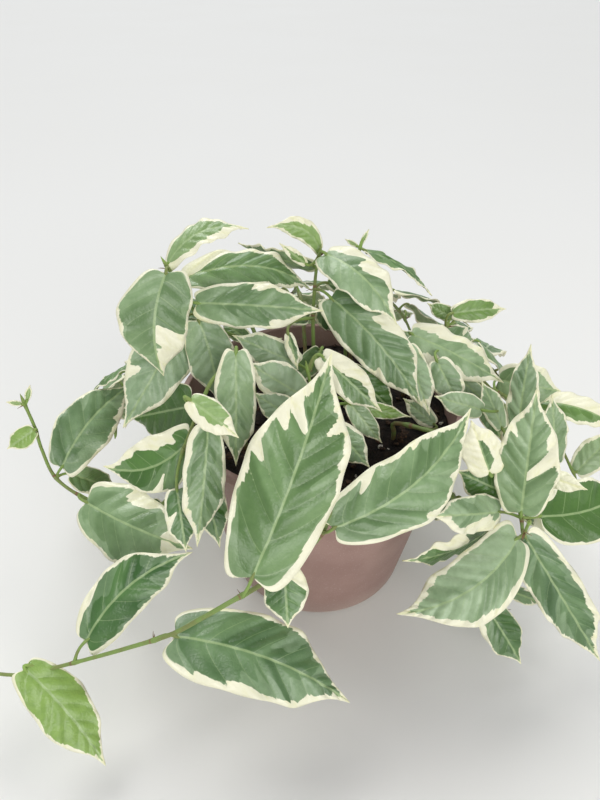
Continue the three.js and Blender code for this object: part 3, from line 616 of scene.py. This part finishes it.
def tube_rings(line, radii, sides, left=None, flat=1.0):
    """Rings of a rod along a line, with a radius at each point, flattened by flat."""
    if left is None:
        heading = line[1] - line[0]
        left = np.cross(heading, (1, 0, 0) if abs(unit(heading)[0]) < 0.8 else (0, 1, 0))
    lefts, ups = frames_along(line, left)
    angle = pi * (1 - (np.arange(sides) + 0.5) / (sides / 2))
    radii = np.broadcast_to(radii, len(line))[:, None, None]
    return (line[:, None] + radii * (np.cos(angle)[:, None] * lefts[:, None]
                                     + flat * np.sin(angle)[:, None] * ups[:, None]))


def half_width(leaf, t):
    """Half the width of a blade in mm, and the same as a share of its widest."""
    near_tip = np.clip((t - DRAWN_FROM) / (DRAWN_TO - DRAWN_FROM), 0, 1)
    half = t ** BASE_POWER * (1 - t) ** TIP_POWER / WIDEST
    half = half * (1 - DRAWN_IN * near_tip ** 2 * (3 - 2 * near_tip))
    return 0.5 * leaf["size"] * leaf["width"] * half, half


def blade_middle(leaf, t, v):
    """The middle surface of a blade, and where each point lies among the veins."""
    size, seed, pairs = leaf["size"], leaf["seed"], leaf["pairs"]
    side = np.abs(v)
    hand = np.where(v > 0, 1.0, -1.0)
    wide, half = half_width(leaf, t)
    lobe = LOBE * (np.sin(pi * t) - t / LOBE_AT * np.exp(1 - t / LOBE_AT))
    along = t + side * lobe
    bow = 4 * along * (1 - along)
    notches = np.sin(11 * t + seed + hand) + 0.5 * np.sin(25 * t + 2 * seed - 2 * hand)
    across = wide * v * (1 + EDGE_UNEVEN * side ** 2 * notches)
    phase = leaf["phase"] + np.where(v > 0, 0, OTHER_MARGIN_PHASE)
    wave = WAVE_HEIGHT * side ** 2 * half * np.sin(2 * pi * WAVES * t + phase)
    ripple = RIPPLE_HEIGHT * side ** 3 * half * np.sin(2 * pi * RIPPLES * t + seed + hand)

    rank = (t - VEIN_RISE * half * side ** 1.2) * pairs + VEIN_STAGGER * hand
    rank = rank + VEIN_UNEVEN * np.sin(1.7 * rank + seed)
    gap = np.abs(rank - np.round(rank))
    pillow = PILLOW * (np.sin(pi * gap) ** 0.8 - 0.5) - FURROW * bell(gap, FURROW_WIDTH)
    pillow = pillow * np.clip(side * 6, 0, 1) * np.clip((1 - side) * 5, 0, 1)
    pillow = pillow * np.clip((1 - t) * 6, 0, 1)
    buckle = BUCKLE * side * half * np.sin(9 * t + 2.3 * seed) * np.sin(3 * v + seed)
    inward = wide * side
    furrow = MIDRIB_FURROW * bell(inward, MIDRIB_WIDTH) * np.clip((1 - t) * 4, 0, 1)

    height = size * (leaf["arch"] * bow + wave + ripple + pillow + buckle)
    height = height - np.abs(across) * tan(FOLD) - furrow
    aside = across + size * leaf["sway"] * bow
    points = (leaf["base"] + (size * along)[..., None] * leaf["a"]
              + aside[..., None] * leaf["s"] + height[..., None] * leaf["n"])
    return points, rank, size / pairs, inward, wide


def cream_width(leaf, t, v, rank, wide):
    """How far the cream margin reaches in from the edge, in mm."""
    shrink = min(1.0, leaf["size"] / 60)
    right, left = leaf["rim"]
    width = np.where(v > 0, left, right) * shrink * (0.25 + 0.75 * np.clip((1 - t) / 0.3, 0, 1))
    place = (rank - VEIN_STAGGER * np.where(v > 0, 1, -1)) / leaf["pairs"] + 0.5 * VEIN_RISE
    for at, side, reach, share in leaf["patches"]:
        near = np.exp(-((place - at) / reach) ** 4)
        width = np.where(v * side > 0, np.maximum(width, near * share * wide * 1.15), width)
    return width


def add_blade(skin, leaf):
    """One blade with its relief, both faces and its edge."""
    rows, columns = leaf["grid"]
    x = np.linspace(0, 1, rows)
    t_line = 0.003 + 0.994 * (0.6 * x + 0.4 * 0.5 * (1 - np.cos(pi * x)))
    u = np.linspace(-1, 1, columns)
    v_line = np.sign(u) * np.abs(u) ** 1.25
    t, v = np.meshgrid(t_line, v_line, indexing="ij")
    middle, rank, gap, inward, wide = blade_middle(leaf, t, v)
    normal = unit(np.cross(np.gradient(middle, axis=0), np.gradient(middle, axis=1)))
    thin = 0.5 * BLADE_THICKNESS * (1 - 0.55 * np.abs(v) ** 6)
    rib = RIB_HEIGHT * bell(inward, RIB_WIDTH)
    rib = rib * np.clip(1 - t, 0, 1) ** 0.7 * np.clip(t * 30, 0, 1)
    side_rib = SIDE_RIB_HEIGHT * bell(np.abs(rank - np.round(rank)) * gap, SIDE_RIB_WIDTH)
    side_rib = side_rib * np.clip(1.2 - np.abs(v), 0, 1)
    upper = middle + thin[..., None] * normal
    lower = middle - (thin + np.minimum(rib + side_rib, wide))[..., None] * normal
    rings = np.concatenate([upper, lower[:, ::-1]], axis=1)

    inset = wide * (1 - np.abs(v)) + 0.6 * np.clip(0.1 - t, 0, 1) * leaf["size"] * 0.1
    looks = np.stack(np.broadcast_arrays(
        rank * gap + np.where(v > 0, OTHER_HALF, 0), inset, inward,
        cream_width(leaf, t, v, rank, wide), leaf["young"], leaf["pale"],
        leaf["seed"], gap, 0.0), -1)
    below = looks.copy()
    below[..., UNDER] = 1
    skin.loft(rings, LEAF, np.concatenate([looks, below[:, ::-1]], axis=1))


def add_rod(skin, line, radii, sides, young, bark, seed, left=None, flat=1.0):
    """A rod of stem tissue, with how young and how corky it is. Gives its rings."""
    rings = tube_rings(line, radii, sides, left, flat)
    looks = np.zeros((len(line), 1, NUMBERS))
    looks[:, 0, YOUNG] = young
    looks[:, 0, PALE] = bark
    looks[:, 0, SEED] = seed
    skin.loft(rings, STEM, looks)
    return rings


def add_petiole(skin, leaf, start):
    """The stalk of a blade, from the stem's line to the blade's base and under it."""
    base, a = leaf["base"], leaf["a"]
    bend = base - min(0.5 * np.linalg.norm(start - base), PETIOLE_BEND) * a
    under = base + np.array([[0.02], [0.05], [0.09]]) * leaf["size"] * a
    under = under - np.array([[0.25], [0.35], [0.3]]) * leaf["n"]
    line = np.vstack([bent(start, bend, base, 9), under])
    share = np.linspace(0, 1, len(line))
    swell = 0.35 * bell(share, 0.12) + 0.2 * bell(share - 0.72, 0.08)
    radii = PETIOLE_RADIUS * (1 + swell)
    radii[-3:] = PETIOLE_RADIUS * np.array([0.75, 0.5, 0.2])
    young = 0.5 + 0.4 * leaf["young"]
    add_rod(skin, line, radii, PETIOLE_SIDES, young, 0, leaf["seed"], leaf["s"])


def add_scale(skin, at, along, outward, length, draw):
    """A dry brown scale, left at a joint of the stem by a young leaf."""
    k = np.linspace(0, 1, 7)
    curl = draw.uniform(0.2, 0.7)
    line = at + (k * length)[:, None] * unit(0.7 * along + 0.7 * outward)
    line = line + (curl * length * k ** 2)[:, None] * outward
    radii = np.maximum(length * 0.17 * np.sin(pi * (0.12 + 0.86 * k)) ** 0.8, 0.04)
    add_rod(skin, line, radii, 8, 0, 1.0, draw.uniform(0, 9), np.cross(along, outward), 0.3)


def add_rootlet(skin, at, along, outward, draw):
    """A short fine root in the air at a joint of the stem."""
    k = np.linspace(0, 1, 8)
    length = draw.uniform(1.4, 3.2)
    aside = unit(np.cross(along, outward))
    bend = draw.uniform(-0.5, 0.5)
    line = (at + (k * length)[:, None] * outward + (bend * length * k ** 2)[:, None] * aside
            - (0.35 * length * k ** 2)[:, None] * (0, 0, 1))
    add_rod(skin, line, ROOTLET_RADIUS * (1 - 0.7 * k), 6, 0, 0.75, draw.uniform(0, 9))


def add_bud(skin, tip, along, young):
    """The pointed bud at the end of a stem."""
    k = np.linspace(0, 1, 9)
    line = tip - 0.5 * along + (k * BUD_LENGTH)[:, None] * along
    radii = BUD_RADIUS * np.sin(pi * (0.28 + 0.7 * k)) ** 0.9 * (1 - 0.35 * k)
    add_rod(skin, line, np.maximum(radii, 0.05), 10, young, 0, 3.0)


def add_stem(skin, fine, joints, seed):
    """A stem that swells at its joints, with their scars, scales and fine roots."""
    draw = random.Random(seed)
    reached = distances(fine)
    share = reached / reached[-1]
    radii = STEM_BASE_RADIUS + (STEM_TIP_RADIUS - STEM_BASE_RADIUS) * share
    bark = 0.75 * np.clip(1 - 2.2 * share, 0, 1)
    scars = np.zeros_like(share)
    for k in joints:
        past = reached - reached[k]
        radii = radii + NODE_SWELL * bell(past, NODE_REACH) * (1 - 0.5 * share[k])
        scars = np.maximum(scars, 0.8 * bell(past - 1.2, 0.7))
    young = 0.1 + 0.45 * share
    rings = add_rod(skin, fine, radii, STEM_SIDES, young, np.maximum(bark, scars), seed % 17)
    lefts, ups = frames_along(fine, rings[0, 0] - fine[0])
    along = unit(np.gradient(fine, axis=0))
    for k in joints:
        if k < 6:
            continue
        turn = draw.uniform(0, 2 * pi)
        outward = cos(turn) * lefts[k] + sin(turn) * ups[k]
        if draw.random() < 0.4:
            add_scale(skin, fine[k] + 0.6 * outward, along[k], outward, draw.uniform(2, 3.6), draw)
        for _ in range(draw.choice((0, 0, 1, 2))):
            turn += draw.uniform(0.6, 1.6)
            outward = cos(turn) * lefts[k] + sin(turn) * ups[k]
            add_rootlet(skin, fine[k] + 0.6 * outward, along[k], outward, draw)
    add_bud(skin, fine[-1], along[-1], 0.95)


def nearest(line, point):
    return int(np.argmin(np.linalg.norm(line - point, axis=1)))


def make_vine(name, coarse, fine, leaves, materials):
    """A leafy stem in one mesh: petioles and blades first, and then the stem."""
    skin = Skin()
    joints = set()
    for leaf in leaves:
        k = nearest(fine, coarse[nearest(coarse, leaf["base"])])
        joints.add(k)
        add_petiole(skin, leaf, fine[k])
        add_blade(skin, leaf)
    add_stem(skin, fine, sorted(joints), sum(map(ord, name)))
    piece = skin.make("leafy_" + name, materials)
    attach(piece, "root")
    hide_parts(name)


def linear(rgb):
    """A screen colour of 0 to 255 as the linear one that shaders take."""
    share = [c / 255 for c in rgb]
    return (*[c / 12.92 if c <= 0.04045 else ((c + 0.055) / 1.055) ** 2.4 for c in share], 1.0)


class Shader:
    """A node material, built up by calls that each give back an output socket."""

    def __init__(self, name):
        self.material = bpy.data.materials.new(name)
        self.material.use_nodes = True
        self.tree = self.material.node_tree
        self.surface = self.tree.nodes["Principled BSDF"]

    def feed(self, sockets, given):
        """Links each socket, or sets its number or its screen colour."""
        for key, value in given.items():
            if isinstance(value, bpy.types.NodeSocket):
                self.tree.links.new(value, sockets[key])
            else:
                sockets[key].default_value = linear(value) if isinstance(value, tuple) else value

    def node(self, kind, given, **settings):
        """A node with its settings, and what is given to its sockets."""
        made = self.tree.nodes.new("ShaderNode" + kind)
        for key, value in settings.items():
            setattr(made, key, value)
        self.feed(made.inputs, given)
        return made.outputs

    def math(self, operation, a, b=0.0, clamp=False):
        return self.node("Math", {0: a, 1: b}, operation=operation, use_clamp=clamp)[0]

    def plus(self, a, b):
        return self.math("ADD", a, b)

    def minus(self, a, b):
        return self.math("SUBTRACT", a, b)

    def times(self, a, b, clamp=False):
        return self.math("MULTIPLY", a, b, clamp)

    def ramp(self, value, low, high):
        """0 where value is below low, 1 where it is above high, and smooth between."""
        given = {"Value": value, "From Min": low, "From Max": high}
        return self.node("MapRange", given, interpolation_type="SMOOTHSTEP")[0]

    def mix(self, share, a, b):
        return self.node("Mix", {0: share, 6: a, 7: b}, data_type="RGBA")[2]

    def read(self, name):
        """The three numbers that the points of a mesh carry under a name."""
        vector = self.node("Attribute", {}, attribute_name=name)["Vector"]
        return self.node("SeparateXYZ", {0: vector}).values()

    def join(self, x, y, z):
        return self.node("CombineXYZ", {0: x, 1: y, 2: z})[0]

    def place(self):
        return self.node("TexCoord", {})["Object"]

    def noise(self, at, scale, detail, roughness):
        given = {"Vector": at, "Scale": scale, "Detail": detail, "Roughness": roughness}
        return self.node("TexNoise", given)["Fac"]

    def cells(self, at, scale):
        """The distance to the nearest wall of a net of cells."""
        given = {"Vector": at, "Scale": scale}
        return self.node("TexVoronoi", given, feature="DISTANCE_TO_EDGE")["Distance"]

    def bump(self, height, distance, strength):
        given = {"Height": height, "Distance": distance, "Strength": strength}
        self.feed(self.surface.inputs, {"Normal": self.node("Bump", given)[0]})

    def finish(self, color, roughness, specular):
        given = {"Base Color": color, "Roughness": roughness, "Specular IOR Level": specular}
        self.feed(self.surface.inputs, given)
        return self.material


def leaf_material():
    """Green zones that follow the side veins, inside a ragged cream margin, washed towards sage
    partly by the blade's own tone and partly as painted sheen.
    """
    s = Shader("variegated_leaf")
    vein, inset, inward = s.read("lie")
    cream, young, pale = s.read("tint")
    seed, gap, under = s.read("kind")

    def field(across_veins, towards_edge, shift, detail=3.0):
        """Noise that is drawn out along the side veins."""
        at = s.join(s.times(vein, across_veins), s.times(inset, towards_edge), s.plus(seed, shift))
        return s.noise(at, 1.0, detail, 0.6)

    ragged = field(0.17, 0.11, 0.0, 2.0)
    fringe = field(0.8, 0.5, 9.0, 2.0)
    reach = s.times(cream, s.plus(0.6, s.times(ragged, 0.8)))
    reach = s.plus(reach, s.times(s.minus(ragged, 0.5), 2.6))
    reach = s.math("MAXIMUM", s.plus(reach, s.minus(fringe, 0.5)), 0.4)
    cream_share = s.ramp(s.minus(reach, inset), -0.16, 0.16)

    zone = s.ramp(field(0.07, 0.05, 3.0, 1.0), 0.35, 0.65)
    green = s.mix(zone, MID_GREEN, DEEP_GREEN)
    fading = s.times(s.minus(field(0.11, 0.07, 6.0, 1.0), 0.46), 32.0)
    beside = s.ramp(s.minus(s.plus(reach, fading), inset), -0.3, 0.5)
    share = s.plus(0.25, s.times(pale, 0.4, True))
    green = s.mix(s.times(beside, share), green, SAGE_AND_SHEEN)
    # Painted sheen: pale washes whole blades towards sage, partly their own tone and partly the
    # light that glossy blades facing up reflect, less in the deep-green zones. Below zero, pale
    # turns a blade deeper green.
    pale_sheen_wash = s.times(pale, s.minus(1.25, s.times(zone, 0.7)), True)
    green = s.mix(pale_sheen_wash, green, SAGE_AND_SHEEN)
    green = s.mix(s.times(pale, -0.9, True), green, DEEP_GREEN)
    green = s.mix(s.times(young, 0.9), green, YOUNG_GREEN)
    green = s.mix(s.times(under, 0.72), green, UNDERSIDE)

    turns = s.math("DIVIDE", vein, gap)
    off = s.math("ABSOLUTE", s.minus(turns, s.math("ROUND", turns)))
    vein_line = s.minus(1.0, s.ramp(s.times(off, gap), 0.06, 0.22))
    vein_line = s.times(vein_line, s.ramp(inset, 0.5, 4.0))
    green = s.mix(s.times(vein_line, 0.3), green, VEIN)
    midrib = s.minus(1.0, s.ramp(inward, 0.26, 0.62))
    green = s.mix(s.times(midrib, 0.62), green, VEIN)
    mottle = s.noise(s.place(), 330.0, 3.0, 0.55)
    green = s.mix(s.times(s.ramp(mottle, 0.35, 0.75), 0.2), green, DEEP_GREEN)

    butter = s.times(s.ramp(field(0.3, 0.2, 14.0), 0.45, 0.75), 0.5)
    light = s.mix(butter, CREAM, BUTTER)
    light = s.mix(s.times(midrib, 0.5), light, BUTTER)
    color = s.mix(cream_share, green, light)

    net = s.ramp(s.cells(s.place(), 620.0), 0.0, 0.25)
    s.bump(s.plus(s.times(mottle, 1.5), s.times(net, 0.3)), 0.0002, 0.6)
    rough = s.plus(0.27, s.times(under, 0.26))
    return s.finish(color, s.plus(rough, s.times(mottle, 0.12)), 0.6)


def stem_material():
    """Green stalks that turn brown and corky with age."""
    s = Shader("stem_and_scales")
    _, young, bark = s.read("tint")
    place = s.place()
    streaks = s.noise(place, 900.0, 4.0, 0.6)
    patches = s.noise(place, 160.0, 3.0, 0.6)
    green = s.mix(young, STEM_GREEN, YOUNG_GREEN)
    green = s.mix(s.times(s.ramp(patches, 0.42, 0.62), 0.45), green, STEM_BROWN)
    brown = s.mix(s.ramp(streaks, 0.35, 0.7), SCALE_BROWN, STEM_BROWN)
    ragged = s.plus(bark, s.times(s.minus(patches, 0.5), 0.8))
    color = s.mix(s.ramp(ragged, 0.35, 0.75), green, brown)
    s.bump(streaks, 0.0002, 0.7)
    return s.finish(color, s.plus(0.42, s.times(patches, 0.25)), 0.4)


def pot_material():
    """Matt plastic with faint clouds of its filler, dust low down, and a painted highlight on the
    bevel of the foot.
    """
    s = Shader("matt_pot_plastic")
    place = s.place()
    clouds = s.noise(place, 38.0, 4.0, 0.6)
    specks = s.noise(place, 1500.0, 2.0, 0.5)
    height = s.node("SeparateXYZ", {0: place})[2]
    low = s.ramp(height, 0.016, 0.0)
    # Painted highlight: a pale band on the foot's bevel, where light catches it.
    foot = s.times(s.ramp(height, 0.0012, 0.0017), s.ramp(height, 0.0027, 0.0021))
    color = s.mix(s.ramp(clouds, 0.3, 0.7), POT_MAUVE, POT_SHADE)
    color = s.mix(s.times(s.ramp(specks, 0.58, 0.72), 0.18), color, GRIT_WHITE)
    color = s.mix(s.times(low, 0.14), color, GRIT_WHITE)
    color = s.mix(s.times(foot, 0.4), color, GRIT_WHITE)
    s.bump(s.plus(s.times(specks, 0.4), s.times(clouds, 0.6)), 0.00012, 0.6)
    return s.finish(color, s.plus(0.44, s.times(clouds, 0.18)), 0.42)


def soil_material():
    """Soil with brown crumbs and fibres. Its colours are its own made darker, as painted shade
    under the leaves.
    """
    s = Shader("potting_soil")
    place = s.place()
    coarse = s.noise(place, 260.0, 6.0, 0.7)
    fibres = s.noise(place, 900.0, 5.0, 0.7)
    color = s.mix(s.ramp(coarse, 0.42, 0.7), SOIL_DARK_AND_SHADE, SOIL_BROWN_AND_SHADE)
    color = s.mix(s.times(s.ramp(fibres, 0.6, 0.8), 0.6), color, BARK)
    s.bump(s.plus(coarse, fibres), 0.0011, 1.0)
    return s.finish(color, s.plus(0.8, s.times(fibres, 0.15)), 0.25)


def grit_material(name, light, dark):
    """Rough grains between two colours."""
    s = Shader(name)
    grain = s.noise(s.place(), 1400.0, 4.0, 0.65)
    s.bump(grain, 0.0003, 0.8)
    color = s.mix(s.ramp(grain, 0.35, 0.65), dark, light)
    return s.finish(color, s.plus(0.75, s.times(grain, 0.2)), 0.3)


def floor_material():
    s = Shader("pale_floor")
    cloud = s.noise(s.place(), 3.0, 2.0, 0.5)
    return s.finish(s.mix(s.times(cloud, 0.12), FLOOR_PALE, GRIT_WHITE), 0.7, 0.3)


def circle(radius, z, sides, turn=0.0):
    """Points around the Z axis, turned on by a part of a side."""
    return [(*polar(radius, 2 * pi * (k + turn) / sides), z) for k in range(sides)]


def capped_faces(rows, sides, first=0):
    """Faces of a body of rings between two end points. Its points start at first."""
    last = first + 1 + rows * sides
    top = last - sides
    faces = []
    for k in range(sides):
        far = (k + 1) % sides
        faces.append((first, first + 1 + far, first + 1 + k))
        for a in range(first + 1, top, sides):
            faces.append((a + k, a + far, a + sides + far, a + sides + k))
        faces.append((top + k, top + far, last))
    return faces


def wall_radius(z):
    """The radius of the outside of the pot's wall at a height."""
    return BASE_RADIUS + (TOP_RADIUS - BASE_RADIUS) * z / POT_HEIGHT


def rounded(corner, before, after, size, count=4):
    """Points that round a corner of an outline."""
    corner, before, after = np.array(corner), np.array(before), np.array(after)
    start = corner + size * unit(before - corner)
    end = corner + size * unit(after - corner)
    return [tuple(p) for p in bent(start, corner, end, count)]


def pot_outline():
    """The pot's section as (radius, height), from the axis below to the axis above."""
    lip_low = POT_HEIGHT - LIP_HEIGHT
    corners = [
        ((0, FOOT_RECESS), 0),
        ((FOOT_RADIUS - 5.5, FOOT_RECESS), 0.4),
        ((FOOT_RADIUS - 4.5, 0), 0.3),
        ((FOOT_RADIUS, 0), 0.35),
        ((wall_radius(1.8), 1.8), 0.4),
        ((wall_radius(lip_low - 0.8), lip_low - 0.8), 0.25),
        ((LIP_RADIUS, lip_low), 0.3),
        ((LIP_RADIUS, POT_HEIGHT), 0.6),
        ((wall_radius(POT_HEIGHT) - WALL, POT_HEIGHT), 0.5),
        ((wall_radius(FLOOR) - WALL, FLOOR), 0.5),
        ((0, FLOOR), 0),
    ]
    outline = []
    for k, (corner, size) in enumerate(corners):
        if size:
            outline += rounded(corner, corners[k - 1][0], corners[k + 1][0], size)
        else:
            outline.append(corner)
    return outline


def cut_drain_hole(pot, angle):
    """Takes one drain hole out of the pot's floor."""
    low, high = -1.0, FLOOR + 1
    points = [(0, 0, low), *circle(DRAIN_RADIUS, low, DRAIN_SIDES),
              *circle(DRAIN_RADIUS, high, DRAIN_SIDES), (0, 0, high)]
    right, away = polar(DRAIN_RING_RADIUS, angle)
    points = [(x + right, y + away, z) for x, y, z in points]
    plug = mesh_piece("drain_cut", points, capped_faces(2, DRAIN_SIDES), [], False)
    cut = pot.modifiers.new("drain", "BOOLEAN")
    cut.operation, cut.solver, cut.object = "DIFFERENCE", "EXACT", plug
    evaluated = pot.evaluated_get(bpy.context.evaluated_depsgraph_get())
    pot.data = bpy.data.meshes.new_from_object(evaluated)
    pot.modifiers.clear()
    bpy.data.objects.remove(plug)


def make_pot(material):
    """The pot, with a bevelled foot, a lip, a thin wall and drain holes."""
    outline = pot_outline()
    points = [(0.0, 0.0, outline[0][1])]
    for radius, height in outline[1:-1]:
        points += circle(radius, height, POT_SIDES, 0.5)
    points.append((0.0, 0.0, outline[-1][1]))
    pot = mesh_piece("pot_body", points, capped_faces(len(outline) - 2, POT_SIDES), [material])
    for k in range(DRAIN_HOLES):
        cut_drain_hole(pot, 2 * pi * (k + 0.5) / DRAIN_HOLES)
    pot.data.set_sharp_from_angle(angle=radians(50))
    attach(pot, "root")
    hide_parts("pot")


def soil_height(x, y):
    """The top of the soil: the solids' low clods with lumps and crumbs on them."""
    clods = (0.9 * sin(0.31 * x + 1.3) * cos(0.27 * y)
             + 0.6 * sin(0.53 * x - 0.41 * y + 0.7))
    lumps = 1.5 * noise.noise(Vector((x, y, 4.0)) * 0.16)
    crumbs = 0.9 * abs(noise.noise(Vector((x, y, 9.0)) * 0.5))
    crumbs += 0.5 * noise.noise(Vector((x, y, 2.0)) * 1.1)
    return SOIL_TOP + clods + lumps + crumbs


def make_soil(material):
    """The soil in one body: smooth where the pot hides it and rough on top."""
    low = FLOOR + SOIL_GAP
    hidden = (low, 50.0, SOIL_TOP - 4)
    points = [(0.0, 0.0, low)]
    for height in hidden:
        points += circle(wall_radius(height) - WALL - SOIL_GAP, height, SOIL_SIDES)
    edge = wall_radius(SOIL_TOP) - WALL - SOIL_GAP - 0.3
    for row in range(SOIL_RINGS):
        slump = SOIL_SLUMP * exp(-row / 2.0)
        ring = circle(edge * (1 - row / SOIL_RINGS), 0, SOIL_SIDES)
        points += [(x, y, soil_height(x, y) - slump) for x, y, _ in ring]
    points.append((0.0, 0.0, soil_height(0, 0)))
    faces = capped_faces(len(hidden) + SOIL_RINGS, SOIL_SIDES)
    soil = mesh_piece("soil_bed", points, faces, [material])
    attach(soil, "root")
    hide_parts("soil")


def grain_points(at, radii, draw, sides, levels):
    """A rough grain: a ball of a few rings, squashed and turned at random."""
    turn = draw.uniform(0, pi)
    tilt = draw.uniform(-0.5, 0.5)
    shape = [(0, 0, -1.0)]
    for level in levels:
        for point in circle(sqrt(1 - level ** 2), level, sides):
            rough = draw.uniform(0.78, 1.15)
            shape.append([c * rough for c in point])
    shape.append((0, 0, 0.95))
    points = []
    for x, y, z in shape:
        x, y, z = x * radii[0], y * radii[1], z * radii[2]
        points.append((at[0] + x * cos(turn) - y * sin(turn),
                       at[1] + x * sin(turn) + y * cos(turn), at[2] + z + tilt * x))
    return points


def make_grit(name, material, count, sizes, flat, seed, sides=8, levels=(-0.75, -0.1, 0.6)):
    """Loose bits that lie half sunk in the top of the soil."""
    draw = random.Random(seed)
    points, faces = [], []
    for _ in range(count):
        radius = GRIT_RADIUS * sqrt(draw.random())
        x, y = polar(radius, draw.uniform(0, 2 * pi))
        size = draw.uniform(*sizes)
        stretch = draw.uniform(0.6, 1.0)
        at = (x, y, soil_height(x, y) + 0.25 * size * flat)
        faces += capped_faces(len(levels), sides, len(points))
        points += grain_points(at, (size, size * stretch, size * flat), draw, sides, levels)
    piece = mesh_piece(name, points, faces, [material], smooth=False)
    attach(piece, "root")


def lamp(name, kind, turn, at=(0, 0, 0), **settings):
    """A lamp with its settings. Suns are wide, and light the whole floor evenly."""
    made = bpy.data.objects.new(name, bpy.data.lights.new(name, kind))
    for key, value in settings.items():
        setattr(made.data, key, value)
    made.location, made.rotation_euler = at, turn
    bpy.context.scene.collection.objects.link(made)


def make_stage():
    """A wide pale floor in even, soft light."""
    half = 6000.0
    corners = [(-half, -half, 0), (half, -half, 0), (half, half, 0), (-half, half, 0)]
    floor = mesh_piece("floor", corners, [(0, 1, 2, 3)], [floor_material()], smooth=False)
    world = bpy.data.worlds.new("studio")
    world.use_nodes = True
    sky = world.node_tree.nodes["Background"].inputs
    sky["Color"].default_value = (0.93, 0.96, 1.0, 1)
    sky["Strength"].default_value = 0.5
    bpy.context.scene.world = world
    warm, cool = (1.0, 0.99, 0.97), (0.95, 0.98, 1.0)
    lamp("key", "SUN", (radians(-22), radians(-24), 0), energy=1.0, angle=radians(28), color=warm)
    lamp("back", "SUN", (radians(-42), radians(-6), 0), energy=1.0, angle=radians(42), color=cool)
    at, aim = Vector((0.3, -1.0, 0.5)), Vector((0, 0, 0.05))
    turn = (aim - at).to_track_quat("-Z", "Y").to_euler()
    lamp("front", "AREA", turn, at, energy=6.0, shape="SQUARE", size=0.8, color=warm)
    bpy.context.scene.view_settings.view_transform = "Standard"


def make_camera():
    """The camera that sees the plant as the picture does."""
    lens = bpy.data.cameras.new("camera")
    lens.sensor_fit = "AUTO"
    lens.sensor_width = SENSOR
    lens.lens = SENSOR * FOCAL_PX / max(PICTURE)
    lens.clip_start, lens.clip_end = 0.01, 50
    made = bpy.data.objects.new("camera", lens)
    made.location = Vector(EYE) * MM
    made.rotation_euler = (pi / 2 - PITCH, 0, 0)
    bpy.context.scene.collection.objects.link(made)
    bpy.context.scene.camera = made


foliage = [leaf_material(), stem_material()]
for name, root, path, rows in VINES:
    coarse, fine = stem_lines(root, [spot(*point) for point in path])
    make_vine(name, coarse, fine, [seen_leaf(*row) for row in rows], foliage)
for name, root, points, count, length, seed in FAR_VINES:
    coarse, fine = stem_lines(root, points)
    make_vine(name, coarse, fine, ruled_leaves(name, coarse, count, length, seed), foliage)
make_pot(pot_material())
make_soil(soil_material())
make_grit("perlite", grit_material("perlite_grain", GRIT_WHITE, GRIT_SHADE), **PERLITE)
make_grit("bark_chips", grit_material("bark_chip", BARK, SOIL_DARK_AND_SHADE), **BARK_CHIPS)
make_stage()
make_camera()
